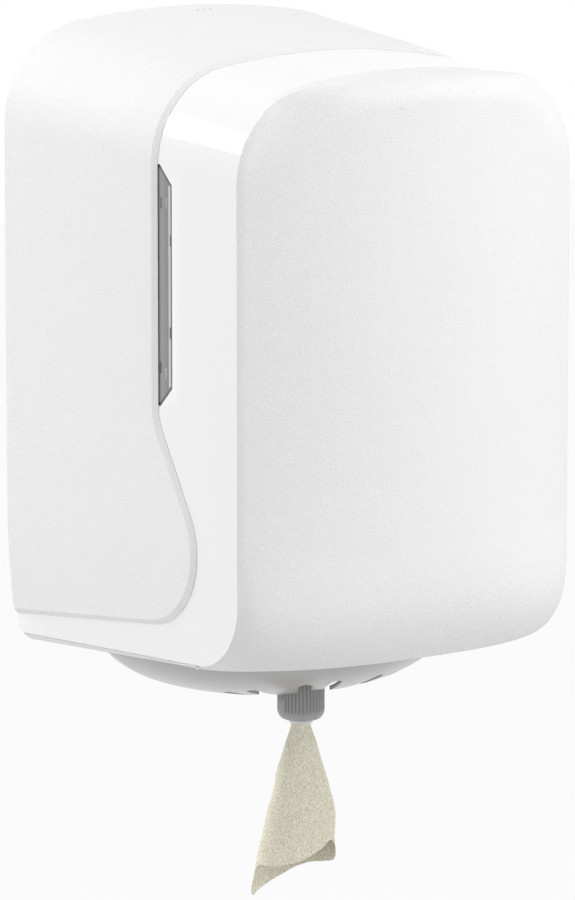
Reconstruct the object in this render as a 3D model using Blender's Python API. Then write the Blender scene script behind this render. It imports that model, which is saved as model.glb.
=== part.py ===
# Centrefeed roll dispenser for a wall, as an assembly of separate pieces.
# Metres, +Z up. The wall is the plane Y = 0, the front faces -Y, and the origin is the
# middle of the wall plate's rear face. A depth is a distance in front of the wall.

import math

import bmesh
import bpy
from mathutils import Matrix, Vector

# Overall body
BODY_WIDTH = 0.250
BODY_HEIGHT = 0.350
REAR_GAP = 0.001
HOOD_DEPTH = 0.129
PARTING_DEPTH = 0.2015
PANEL_BULGE = 0.0345
FIT_GAP = 0.0003
OVERRUN = 0.004

# Glossy shell: half widths and top heights at the rear, at the hood's edge and at the front
HOOD_PROUD = 0.0018
SHELL_WALL = 0.0025
SHELL_BREAK_HALF_WIDTH = 0.1148
SHELL_FRONT_HALF_WIDTH = 0.1120
SHELL_BREAK_TOP = 0.1583
SHELL_FRONT_TOP = 0.1515
REAR_CORNER = 0.0477
FRONT_CORNER = 0.0417
TOP_CROWN = 0.015
CORNER_POWER = 2.25
SHELL_BOTTOM_REAR = -0.1714
SHELL_BOTTOM_FRONT = -0.1656
PARTING_FILLET = 0.038
TUCK_START = -0.100
TUCK_REAR = 0.0067
TUCK_FRONT = 0.0008
TUCK_MIDDLE_SHARE = 0.5

# Hood that wraps the rear of the shell
HOOD_BEVEL = 0.0040
HOOD_BOTTOM_BEVEL = 0.0027
HOOD_EDGE = 0.0009
HOOD_BOTTOM_RISE_SHARE = 0.095
HOOD_LOBE_RADIUS = 0.0400
HOOD_LOBE_DEPTH = 0.1223
HOOD_LOBE_HEIGHT = -0.1057
HOOD_NECK_RADIUS = 0.0327
HOOD_SLANT = math.radians(29.5)

# Front panel and the rim below the shell
PANEL_WALL = 0.003
PANEL_EDGE = 0.0012
PANEL_STEP = 0.001
PANEL_TOP_ROUND = 0.017
PANEL_SIDE_TURN = math.radians(35)
PANEL_TOP_SHARE = 0.5
PANEL_RECESS_START = -0.105
PANEL_RECESS_SIDE = 0.022
PANEL_RECESS_MIDDLE = 0.019
RIM_RISE_SHARE = 0.047
RIM_WIDTH = 0.0043
RIM_LIP = 0.0015
RIM_LIP_HEIGHT = 0.005
RIM_LIP_START = 0.026
RIM_REACH = 0.168

# Windows in the sides of the shell
WINDOW_FRONT = 0.1452
WINDOW_REAR = 0.1240
WINDOW_TOP = 0.1024
WINDOW_BOTTOM = -0.0279
WINDOW_CHAMFER = 0.0105
PANE_THICKNESS = 0.0013
PANE_SINK = 0.0007
PANE_LIP = 0.0030
PANE_LIP_GAP = 0.0006

# Cover hinge, at the rear bottom corner
HINGE_DEPTH = 0.011
HINGE_HEIGHT = -0.165
HINGE_CORNER = 0.010
PIN_RADIUS = 0.003
PIN_HEAD_RADIUS = 0.0048
PIN_HEAD = 0.0022
LUG_RADIUS = 0.0058
LUG_INNER = 0.1035
EAR_THICKNESS = 0.0035
EAR_OUTER = 0.1015
EAR_TOP = -0.138
EAR_NECK = 0.009

# Wall plate
PLATE_THICKNESS = 0.0025
PLATE_FLANGE = 0.0100
PLATE_FLANGE_WALL = 0.0022
PLATE_INSET = 0.0045
PLATE_BOTTOM = -0.149
HOLE_X = 0.070
HOLE_HIGH = 0.095
HOLE_LOW = -0.085
HOLE_HEAD_RADIUS = 0.0050
HOLE_RADIUS = 0.0026
HOLE_DROP = 0.011

# Roll tray
TRAY_TOP = -0.152
TRAY_THICKNESS = 0.003
TRAY_HALF_WIDTH = 0.096
TRAY_STRAIGHT = 0.150
TRAY_BULGE = 0.050
TRAY_HOLE_RADIUS = 0.034
TRAY_BACK_TOP = -0.112
TRAY_BACK_HALF_WIDTH = 0.094
GUSSET_X = 0.0925
GUSSET_THICKNESS = 0.0025
GUSSET_DEPTH = 0.052
GUSSET_HEIGHT = 0.034
TRAY_SCREW_X = 0.045
TRAY_SCREW_HEIGHT = -0.128

# Screws
SCREW_RADIUS = 0.0017
SCREW_HEAD_RADIUS = 0.0034
SCREW_HEAD = 0.0018

# Bowl under the tray, with a scalloped opening for the nozzle
FEED_DEPTH = 0.1073
BOWL_HALF_WIDTH = 0.107
BOWL_REAR = 0.057
BOWL_FRONT = 0.112
BOWL_MIDDLE = 0.0706
BOWL_TOP = -0.166
BOWL_BOTTOM = -0.2036
BOWL_WALL = 0.0025
BOWL_POWER = 2.2
BOWL_ROUND = 1.75
HOLE_RADIUS_WIDE = 0.0385
HOLE_RADIUS_TONGUE = 0.0415
HOLE_SLOT_REACH = 0.0465
HOLE_SLOT_ROUND_SHARE = 0.35
HOLE_SLOT_TURN = math.radians(4.4)
HOLE_SLOT_SPREAD = math.radians(9.1)
HOLE_SLOT_PAIRS = 7
BOSS_RADIUS = 0.0038
BOSS_HOLE_DEPTH = 0.007
BOSS_X = 0.070
BOSS_DEPTHS = (0.040, 0.125)

# Funnel and neck
FUNNEL_FLANGE_RADIUS = 0.046
FUNNEL_MOUTH_RADIUS = 0.0335
FUNNEL_WALL = 0.002
FUNNEL_CONE = 0.030
FUNNEL_SCREW_RADIUS = 0.0402
NECK_RADIUS = 0.0095
NECK_BOTTOM = -0.208

# Collar and its insert
COLLAR_RADIUS = 0.01325
COLLAR_TOP = -0.188
COLLAR_SHOULDER = -0.2118
COLLAR_BOTTOM = -0.2176
COLLAR_FLOOR = -0.2105
COLLAR_MOUTH_RADIUS = 0.0088
RIB_COUNT = 40
RIB_DEPTH = 0.0005
PAD_HEIGHT = -0.2055
PAD_START = math.radians(163)
PAD_END = math.radians(191)
INSERT_RADIUS = 0.0066
INSERT_BORE = 0.0055
INSERT_BOTTOM = -0.2198
INSERT_FLANGE = 0.0016
INSERT_FLANGE_RADIUS = 0.0088

# Paper
ROLL_RADIUS = 0.0925
ROLL_BORE = 0.030
ROLL_TOP = 0.040
STRAND_RADIUS = 0.0045
STRAND_TOP = -0.130
TAIL_TOP = -0.2198
TAIL_WALL = 0.0011
TAIL_TURN = math.radians(-36.6)
TAIL_LENGTH = 0.1006
TAIL_DEPTH_SHARE = 0.5
TAIL_FOLD = 0.0012
TAIL_FOLDS = 3
TAIL_HEIGHT_SHARES = (0.0, 0.12, 0.25, 0.38, 0.52, 0.66, 0.80, 1.0)
TAIL_HALF_WIDTHS = (0.0052, 0.0089, 0.0127, 0.0161, 0.0193, 0.0207, 0.0232, 0.0262)
TAIL_SHIFTS = (0.0, 0.0, -0.0003, 0.0, -0.0006, -0.0024, -0.0030, -0.0036)
TAIL_HEM_SHARES = (0.72, 0.69, 0.73, 0.77, 0.80, 0.81, 0.81, 0.83,
                   0.91, 0.98, 0.92, 0.88, 0.83, 0.80, 0.79, 0.78)

# Latch at the top
LATCH_DEPTH = 0.016
KEY_HOLE_RADIUS = 0.0011
KEY_HOLE_PITCH = 0.0044
STRIKE_HALF_WIDTH = 0.014
STRIKE_THICKNESS = 0.0022
STRIKE_TOP = 0.1525
STRIKE_LIP = 0.0055
STRIKE_FRONT = 0.0130
STRIKE_FOOT = 0.018
HOOK_GAP = 0.0010
HOOK_TOOTH = 0.0025
HOOK_THICKNESS = 0.0030
STEM_HALF_WIDTH = 0.0036
STEM_THICKNESS = 0.0032
CASE_HALF_WIDTH = 0.0135
CASE_REAR = 0.0115
CASE_FRONT = 0.0205
CASE_TOP = 0.1678
CASE_BOTTOM = 0.1545
CASE_WALL = 0.0014
LATCH_HEAD_TOP = 0.1662
LATCH_HEAD = 0.0022
LATCH_HEAD_HALF_WIDTH = 0.0098
SPRING_X = 0.0070
SPRING_RADIUS = 0.0016
SPRING_WIRE = 0.00028
SPRING_TURNS = 5
SPRING_SIDES = 5

# Fineness of the meshes
FILLET_STEPS = 6
CORNER_STEPS = 7
CROWN_STEPS = 5
RING_STEPS = 4
ROUND_STEPS = 32
SHELL_SHARES = (0.0, 0.5, 1.0)
HOOD_SHARES = (0.0, 0.35, 0.7, 1.0)


def clear_scene():
    for obj in list(bpy.data.objects):
        bpy.data.objects.remove(obj)


def material(name, colour, roughness, metallic=0.0, alpha=1.0):
    made = bpy.data.materials.new(name)
    made.use_nodes = True
    shader = made.node_tree.nodes["Principled BSDF"]
    shader.inputs["Base Color"].default_value = (*colour, 1.0)
    shader.inputs["Roughness"].default_value = roughness
    shader.inputs["Metallic"].default_value = metallic
    shader.inputs["Alpha"].default_value = alpha
    made.diffuse_color = (*colour, alpha)
    return made


def blend(low, high, share):
    return low + (high - low) * share


def between(values, places, place):
    """The value at this place, on straight lines between the listed ones."""
    for k in range(1, len(places)):
        if place <= places[k]:
            share = (place - places[k - 1]) / (places[k] - places[k - 1])
            return blend(values[k - 1], values[k], share)
    return values[-1]


def point(x, depth, z):
    return Vector((x, -depth, z))


# Shape of the shell's skin

def half_width(depth):
    places = (0.0, HOOD_DEPTH, PARTING_DEPTH)
    values = (BODY_WIDTH / 2 - HOOD_PROUD, SHELL_BREAK_HALF_WIDTH, SHELL_FRONT_HALF_WIDTH)
    return between(values, places, depth)


def top_height(depth):
    places = (0.0, HOOD_DEPTH, PARTING_DEPTH)
    values = (BODY_HEIGHT / 2 - HOOD_PROUD, SHELL_BREAK_TOP, SHELL_FRONT_TOP)
    return between(values, places, depth)


def corner_radius(depth):
    return blend(REAR_CORNER, FRONT_CORNER, min(depth / PARTING_DEPTH, 1.0))


def corner_start(depth):
    return top_height(depth) - TOP_CROWN - corner_radius(depth)


def tuck(depth, z):
    """How far the side has drawn in, low down."""
    share = max(TUCK_START - z, 0.0) / (TUCK_START + BODY_HEIGHT / 2)
    return blend(TUCK_REAR, TUCK_FRONT, min(depth / PARTING_DEPTH, 1.0)) * share ** 2


def side_x(depth, z, offset=0.0):
    """Half width at a point of the side, also where it starts to round over the top."""
    radius = corner_radius(depth)
    upward = max(z - corner_start(depth), 0.0) / radius
    across = (1 - min(upward, 1.0) ** CORNER_POWER) ** (1 / CORNER_POWER)
    return half_width(depth) - radius * (1 - across) - tuck(depth, z) + offset


def corner_point(depth, turn, offset=0.0):
    """(x, z) on the rounded upper corner, where turn runs from 0 at the side to 1 at the top."""
    width = half_width(depth) + offset
    radius = corner_radius(depth) + offset
    across = math.cos(turn * math.pi / 2) ** (2 / CORNER_POWER) if turn < 1 else 0.0
    upward = math.sin(turn * math.pi / 2) ** (2 / CORNER_POWER)
    x = width - radius + radius * across
    z = corner_start(depth) + radius * upward
    return x, z + TOP_CROWN * upward * (1 - (x / width) ** 2)


def crown_point(depth, share, offset=0.0):
    """(x, z) along the top, where share runs from 0 at the corner to 1 in the middle."""
    width = half_width(depth) + offset
    x = (half_width(depth) - corner_radius(depth)) * (1 - share)
    z = top_height(depth) + offset - TOP_CROWN
    return x, z + TOP_CROWN * (1 - (x / width) ** 2)


def rim_height(depth):
    return -BODY_HEIGHT / 2 + RIM_RISE_SHARE * depth


def shell_bottom(depth):
    fillet_depth = PARTING_DEPTH - PARTING_FILLET
    return blend(SHELL_BOTTOM_REAR, SHELL_BOTTOM_FRONT, min(depth / fillet_depth, 1.0))


# Mesh building

def grid_faces(bm, grid, wrap=False):
    rows = [[bm.verts.new(p) for p in row] for row in grid]
    columns = len(rows[0])
    for low, high in zip(rows, rows[1:]):
        for j in range(columns if wrap else columns - 1):
            k = (j + 1) % columns
            bm.faces.new([low[j], low[k], high[k], high[j]])


def merge(bm):
    bmesh.ops.remove_doubles(bm, verts=bm.verts, dist=FIT_GAP / 100)
    return bm


def edge_of(grid):
    """The points around a grid, in order."""
    right = [row[-1] for row in grid[1:-1]]
    left = [row[0] for row in grid[-2:0:-1]]
    return grid[0] + right + grid[-1][::-1] + left


def closed_skins(outer, inner, outer_edge, inner_edge):
    """A closed solid between two sets of grids, joined along their edges."""
    bm = bmesh.new()
    for grid in outer + inner:
        grid_faces(bm, grid)
    rim = [outer_edge + outer_edge[:1], inner_edge + inner_edge[:1]]
    grid_faces(bm, rim)
    return merge(bm)


def two_skins(outer, inner):
    return closed_skins([outer], [inner], edge_of(outer), edge_of(inner))


def tube(loops):
    """A closed solid through these closed loops of points, flat at both ends."""
    bm = bmesh.new()
    grid_faces(bm, loops, wrap=True)
    for loop in (loops[0], loops[-1]):
        bm.faces.new([bm.verts.new(p) for p in loop])
    return merge(bm)


def ring_tube(loops):
    """A closed ring through these closed loops of points, the last joined to the first."""
    bm = bmesh.new()
    grid_faces(bm, loops + loops[:1], wrap=True)
    return merge(bm)


def flat_prism(outline, low, high):
    """The outline is in plan, as x and depth. low and high are heights."""
    return tube([[point(x, d, z) for x, d in outline] for z in (low, high)])


def wall_prism(outline, rear, front):
    """The outline is seen from the front, as x and z. rear and front are depths."""
    return tube([[point(x, d, z) for x, z in outline] for d in (rear, front)])


def side_prism(outline, left, right):
    """The outline is seen from the side, as depth and z. left and right are x."""
    return tube([[point(x, d, z) for d, z in outline] for x in (left, right)])


def box(left, right, rear, front, low, high):
    return flat_prism([(left, rear), (right, rear), (right, front), (left, front)], low, high)


def turned(profile, steps=ROUND_STEPS):
    """A ring about the feed axis, from a closed profile of radius and height."""
    loops = []
    for radius, z in profile:
        angles = [2 * math.pi * k / steps for k in range(steps)]
        loops.append([point(radius * math.cos(a), FEED_DEPTH + radius * math.sin(a), z)
                      for a in angles])
    return ring_tube(loops)


def rod(start, end, radius, steps=ROUND_STEPS // 2):
    bm = bmesh.new()
    bmesh.ops.create_cone(bm, cap_ends=True, segments=steps, radius1=radius, radius2=radius,
                          depth=(end - start).length)
    turn = Vector((0, 0, 1)).rotation_difference(end - start).to_matrix().to_4x4()
    bmesh.ops.transform(bm, matrix=Matrix.Translation((start + end) / 2) @ turn, verts=bm.verts)
    return bm


def circle(x, y, radius, steps=ROUND_STEPS // 2):
    angles = [2 * math.pi * k / steps for k in range(steps)]
    return [(x + radius * math.cos(a), y + radius * math.sin(a)) for a in angles]


def mirrored(half):
    """Both halves of a row of points, from the left half that ends in the middle."""
    return half + [Vector((-p.x, p.y, p.z)) for p in reversed(half[:-1])]


def mesh_object(name, bm):
    bmesh.ops.recalc_face_normals(bm, faces=bm.faces)
    mesh = bpy.data.meshes.new(name)
    bm.to_mesh(mesh)
    bm.free()
    obj = bpy.data.objects.new(name, mesh)
    bpy.context.scene.collection.objects.link(obj)
    return obj


def piece(name, bm, finish, parent, sharp=math.radians(35)):
    """A finished piece, held in place by the pivot that it moves with."""
    obj = mesh_object(name, bm)
    obj.data.transform(Matrix.Translation(-parent.location))
    obj.data.shade_smooth()
    obj.data.set_sharp_from_angle(angle=sharp)
    obj.data.materials.append(finish)
    obj.parent = parent
    return obj


def cutter(name, bm):
    obj = mesh_object(name, bm)
    obj.display_type = "WIRE"
    obj.hide_render = True
    return obj


def combine(obj, other, operation="DIFFERENCE"):
    modifier = obj.modifiers.new(other.name, "BOOLEAN")
    modifier.operation = operation
    modifier.solver = "EXACT"
    modifier.object = other


def pivot(name, place):
    empty = bpy.data.objects.new(name, None)
    empty.location = place
    bpy.context.scene.collection.objects.link(empty)
    return empty


# Cover

def skin_rows(front_edge, lowest_rear, level, offset, stops):
    """Rows of points on the skin, from the rear to a front edge.

    front_edge holds depth and z from the bottom up, and above its last point the edge stays
    at that depth. Above level the rows run level. stops gives the depths of the rows along
    the line from the rear to a given depth.
    """
    low = front_edge[0][1]
    last = front_edge[-1][0]
    count = len(stops(last))
    rows = []
    for step in range(count):
        half = []
        for depth, z in front_edge:
            rear_z = z if z >= level else blend(lowest_rear, level, (z - low) / (level - low))
            d = stops(depth)[step]
            height = blend(rear_z, z, (d - REAR_GAP) / (depth - REAR_GAP))
            half.append(point(-side_x(d, height, offset), d, height))
        d = stops(last)[step]
        for k in range(CORNER_STEPS + 1):
            x, z = corner_point(d, k / CORNER_STEPS, offset)
            half.append(point(-x, d, z))
        for k in range(1, CROWN_STEPS + 1):
            x, z = crown_point(d, k / CROWN_STEPS, offset)
            half.append(point(-x, d, z))
        rows.append(mirrored(half))
    return rows


def shell_stops(depth):
    """Even steps to the break in the skin at the hood's edge, then even steps past it."""
    rear = [blend(REAR_GAP, HOOD_DEPTH, share) for share in SHELL_SHARES]
    return rear + [blend(HOOD_DEPTH, depth, share) for share in SHELL_SHARES[1:]]


def hood_stops(depth):
    return [blend(REAR_GAP, depth, share) for share in HOOD_SHARES]


def parting_edge():
    """The line between the shell and the front panel, from the bottom up."""
    edge = []
    for k in range(FILLET_STEPS + 1):
        angle = math.pi / 2 * (1 - k / FILLET_STEPS)
        depth = PARTING_DEPTH - PARTING_FILLET * (1 - math.cos(angle))
        edge.append((depth, SHELL_BOTTOM_FRONT + PARTING_FILLET * (1 - math.sin(angle))))
    edge.append((PARTING_DEPTH, blend(edge[-1][1], TUCK_START, TUCK_MIDDLE_SHARE)))
    edge.append((PARTING_DEPTH, TUCK_START))
    edge.append((PARTING_DEPTH, WINDOW_BOTTOM))
    return edge


def hood_edge(reach, bottom_reach):
    """The hood's edge on the side, from its bottom line round the lobe and up the neck.

    The reaches widen the edge outwards, for the foot of its bevel.
    """
    steps = 2 * FILLET_STEPS
    first = math.atan(HOOD_BOTTOM_RISE_SHARE) - math.pi / 2
    edge = []
    for k in range(steps + 1):
        angle = blend(first, HOOD_SLANT, k / steps)
        radius = HOOD_LOBE_RADIUS + blend(bottom_reach, reach, min(2 * k / steps, 1.0))
        edge.append((HOOD_LOBE_DEPTH + radius * math.cos(angle),
                     HOOD_LOBE_HEIGHT + radius * math.sin(angle)))
    radii = HOOD_LOBE_RADIUS + HOOD_NECK_RADIUS
    neck_depth = HOOD_DEPTH + HOOD_NECK_RADIUS
    sine = math.sin(HOOD_SLANT)
    cosine = math.cos(HOOD_SLANT)
    run = (HOOD_LOBE_DEPTH + radii * cosine - neck_depth) / sine
    neck_height = HOOD_LOBE_HEIGHT + radii * sine + run * cosine
    for k in range(FILLET_STEPS + 1):
        angle = math.pi + HOOD_SLANT * (1 - k / FILLET_STEPS)
        radius = HOOD_NECK_RADIUS - reach
        edge.append((neck_depth + radius * math.cos(angle),
                     neck_height + radius * math.sin(angle)))
    return edge


def hood_rear(edge):
    """Height of the hood's bottom line at the rear."""
    return edge[0][1] - HOOD_BOTTOM_RISE_SHARE * (edge[0][0] - REAR_GAP)


def window_outline(grow):
    """The window seen from the side, grown outwards by this much."""
    front = WINDOW_FRONT + grow
    rear = WINDOW_REAR - grow
    top = WINDOW_TOP + grow
    bottom = WINDOW_BOTTOM - grow
    return [(rear, bottom), (front - WINDOW_CHAMFER, bottom), (front, bottom + WINDOW_CHAMFER),
            (front, top - WINDOW_CHAMFER), (front - WINDOW_CHAMFER, top), (rear, top)]


def corner_cut():
    """Rounds the rear bottom corner about the hinge, so that the open cover clears the wall."""
    steps = 2 * FILLET_STEPS
    reach = HINGE_CORNER + OVERRUN
    outline = [(HINGE_DEPTH, HINGE_HEIGHT - HINGE_CORNER), (HINGE_DEPTH, HINGE_HEIGHT - reach),
               (HINGE_DEPTH - reach, HINGE_HEIGHT - reach), (HINGE_DEPTH - reach, HINGE_HEIGHT),
               (HINGE_DEPTH - HINGE_CORNER, HINGE_HEIGHT)]
    for k in range(1, steps):
        angle = math.pi * (1 + k / (2 * steps))
        outline.append((HINGE_DEPTH + HINGE_CORNER * math.cos(angle),
                        HINGE_HEIGHT + HINGE_CORNER * math.sin(angle)))
    return cutter("rear_corner_cut", side_prism(outline, -BODY_WIDTH, BODY_WIDTH))


def key_hole_cuts():
    cuts = []
    for k in (-1, 0, 1):
        low = point(k * KEY_HOLE_PITCH, LATCH_DEPTH, CASE_TOP - OVERRUN)
        high = point(k * KEY_HOLE_PITCH, LATCH_DEPTH, BODY_HEIGHT / 2 + OVERRUN)
        cuts.append(cutter(f"key_hole_cut_{k + 2}", rod(low, high, KEY_HOLE_RADIUS)))
    return cuts


def make_shell(finish, cover, holes, rounding):
    edge = parting_edge()
    rows = [skin_rows(edge, SHELL_BOTTOM_REAR, WINDOW_BOTTOM, offset, shell_stops)
            for offset in (0.0, -SHELL_WALL)]
    shell = piece("cover_shell", two_skins(*rows), finish, cover)
    for side, name in ((-1, "left"), (1, "right")):
        wall = side_x(HINGE_DEPTH, HINGE_HEIGHT) - SHELL_WALL
        inner = point(side * LUG_INNER, HINGE_DEPTH, HINGE_HEIGHT)
        outer = point(side * (wall + SHELL_WALL / 2), HINGE_DEPTH, HINGE_HEIGHT)
        combine(shell, cutter(f"lug_{name}", rod(inner, outer, LUG_RADIUS)), "UNION")
        start = point(side * (LUG_INNER - OVERRUN), HINGE_DEPTH, HINGE_HEIGHT)
        end = point(side * (wall - FIT_GAP), HINGE_DEPTH, HINGE_HEIGHT)
        combine(shell, cutter(f"lug_bore_{name}", rod(start, end, PIN_RADIUS + FIT_GAP)))
        deep = half_width(WINDOW_FRONT) - SHELL_WALL - OVERRUN
        hole = side_prism(window_outline(0.0), side * deep, side * BODY_WIDTH / 2)
        combine(shell, cutter(f"window_cut_{name}", hole))
    for hole in holes:
        combine(shell, hole)
    combine(shell, rounding)


def hood_grid(offset, foot_offset):
    """The hood's skin with its bevelled edge, at the front and along the bottom line."""
    edge = hood_edge(0.0, 0.0)
    foot = hood_edge(HOOD_BEVEL, HOOD_BOTTOM_BEVEL)
    level = edge[-1][1]
    rows = skin_rows(edge, hood_rear(edge), level, offset, hood_stops)
    feet = skin_rows(foot, hood_rear(foot), level, foot_offset, hood_stops)
    grid = [[low[0]] + row + [low[-1]] for row, low in zip(rows, feet)]
    return grid + [[feet[-1][0]] + feet[-1] + [feet[-1][-1]]]


def make_hood(finish, cover, holes):
    skins = two_skins(hood_grid(HOOD_PROUD, HOOD_EDGE), hood_grid(FIT_GAP, FIT_GAP))
    hood = piece("rear_hood", skins, finish, cover)
    for hole in holes:
        combine(hood, hole)


def recess(z):
    """How far the front panel has curved under, low down, from 0 to 1."""
    share = (PANEL_RECESS_START - z) / (PANEL_RECESS_START - SHELL_BOTTOM_FRONT)
    return min(max(share, 0.0), 1.0) ** 3


def panel_depth(x, z, width):
    """Depth of the front panel's face."""
    under = recess(z)
    bulge = PANEL_BULGE + (PANEL_RECESS_SIDE - PANEL_RECESS_MIDDLE) * under
    base = PARTING_DEPTH + PANEL_EDGE - PANEL_RECESS_SIDE * under
    return base, bulge * math.sqrt(max(1 - (x / width) ** 2, 0.0))


def panel_skin(inset):
    """Grids of points on the front panel: its face with the sides, and its rounded top.

    inset is the distance inwards from the outer face.
    """
    edge = parting_edge()
    outline = [(side_x(d, z), z, d) for d, z in edge]
    for k in range(CORNER_STEPS + 1):
        outline.append((*corner_point(PARTING_DEPTH, k / CORNER_STEPS), PARTING_DEPTH))
    side_count = len(outline)
    for k in range(1, CROWN_STEPS + 1):
        outline.append((*crown_point(PARTING_DEPTH, k / CROWN_STEPS), PARTING_DEPTH))
    width = half_width(PARTING_DEPTH) + PANEL_STEP
    rings = []
    for i, (x, z, parting) in enumerate(outline):
        if i < len(edge):
            across, upward = 1.0, 0.0
        else:
            low = outline[i - 1]
            high = outline[i + 1] if i + 1 < len(outline) else (-low[0], low[1])
            run = Vector((high[1] - low[1], low[0] - high[0])).normalized()
            across, upward = run.x, run.y
        reach = PANEL_STEP - (PANEL_WALL + FIT_GAP if inset else 0.0)
        x += across * reach
        z += upward * reach
        ring = []
        for j in range(-1, RING_STEPS + 1):
            turn = PANEL_SIDE_TURN * max(j, 0) / RING_STEPS
            over = math.pi / 2 * max(j, 0) / RING_STEPS
            here = x * (1 - across * (1 - math.cos(turn)))
            height = z - upward * PANEL_TOP_ROUND * (1 - math.cos(over))
            base, bulge = panel_depth(here, height, width)
            top = blend(PANEL_TOP_SHARE, 1.0, math.sin(over))
            if i < len(edge):
                width_here = side_x(parting, z) + PANEL_STEP
                base, bulge = panel_depth(width_here * math.cos(turn), z, width_here)
            depth = base + bulge * blend(top, 1.0, across ** 2) - inset
            if j < 0:
                depth = parting + FIT_GAP
            else:
                depth = max(depth, parting + FIT_GAP + (PANEL_EDGE if not inset else FIT_GAP))
            ring.append((here, height, depth))
        rings.append(ring)
    columns = 2 * CROWN_STEPS
    face = []
    for i in range(side_count):
        here, height, _ = rings[i][-1]
        half_width_here = outline[i][0] + PANEL_STEP if i < len(edge) else width
        middle = []
        for k in range(1, columns):
            x = here * (1 - 2 * k / columns)
            base, bulge = panel_depth(x, height, half_width_here)
            middle.append(point(-x, base + bulge - inset, height))
        left = [point(-x, d, z) for x, z, d in rings[i]]
        face.append(left + middle + [Vector((-p.x, p.y, p.z)) for p in reversed(left)])
    lowest = [point(p.x, -p.y, rim_height(-p.y)) for p in face[0]]
    face[0] = lowest
    top = []
    for j in range(RING_STEPS + 2):
        half = [rings[i][j] for i in range(side_count - 1, len(outline))]
        top.append(mirrored([point(-x, d, z) for x, z, d in half]))
    # The top's last ring and the face's last row are one line
    start = RING_STEPS + 1
    for k in range(1, columns):
        face[-1][start + k] = top[-1][k].copy()
    return face, top


def panel_rim(face, top):
    """The points around the panel's edge, in order."""
    left = [row[0] for row in face]
    right = [row[-1] for row in face]
    return left[:-1] + top[0] + right[-2::-1] + face[0][-2:0:-1]


def rim_bar(side, start, low, high, near, far, front_step):
    """A bar along the foot of one side, between two offsets from the shell's skin."""
    loops = []
    for k in range(RING_STEPS + 1):
        d = blend(start, RIM_REACH, k / RING_STEPS)
        step = front_step * d / RIM_REACH
        corners = []
        for z, offset in ((low(d), near + step), (high(d), near + step),
                          (high(d), far), (low(d), far)):
            corners.append(point(side * side_x(d, z, offset), d, z))
        loops.append(corners)
    return tube(loops)


def make_panel(finish, cover, rounding):
    outer_face, outer_top = panel_skin(0.0)
    inner_face, inner_top = panel_skin(PANEL_WALL)
    skins = closed_skins([outer_face, outer_top], [inner_face, inner_top],
                         panel_rim(outer_face, outer_top), panel_rim(inner_face, inner_top))
    panel = piece("front_panel", skins, finish, cover)
    for side, name in ((-1, "left"), (1, "right")):
        bar = rim_bar(side, REAR_GAP, rim_height, lambda d: shell_bottom(d) - FIT_GAP,
                      0.0, -RIM_WIDTH, PANEL_STEP)
        combine(panel, cutter(f"rim_bar_{name}", bar), "UNION")
        lip = rim_bar(side, RIM_LIP_START, lambda d: rim_height(d) + FIT_GAP,
                      lambda d: shell_bottom(d) + RIM_LIP_HEIGHT,
                      RIM_LIP - RIM_WIDTH, FIT_GAP - RIM_WIDTH, 0.0)
        combine(panel, cutter(f"rim_lip_{name}", lip), "UNION")
    combine(panel, rounding)


def make_pane(name, side, finish, cover):
    """A clear pane sunk in the side, with a lip behind the shell's wall."""
    body = window_outline(-FIT_GAP)
    lip = window_outline(PANE_LIP)
    back = -SHELL_WALL - PANE_LIP_GAP
    loops = []
    for outline, offset in ((body, -PANE_SINK), (body, back), (lip, back),
                            (lip, back - PANE_THICKNESS)):
        loops.append([point(side * side_x(d, z, offset), d, z) for d, z in outline])
    piece(name, tube(loops), finish, cover)


# Latch at the top of the cover

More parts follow.
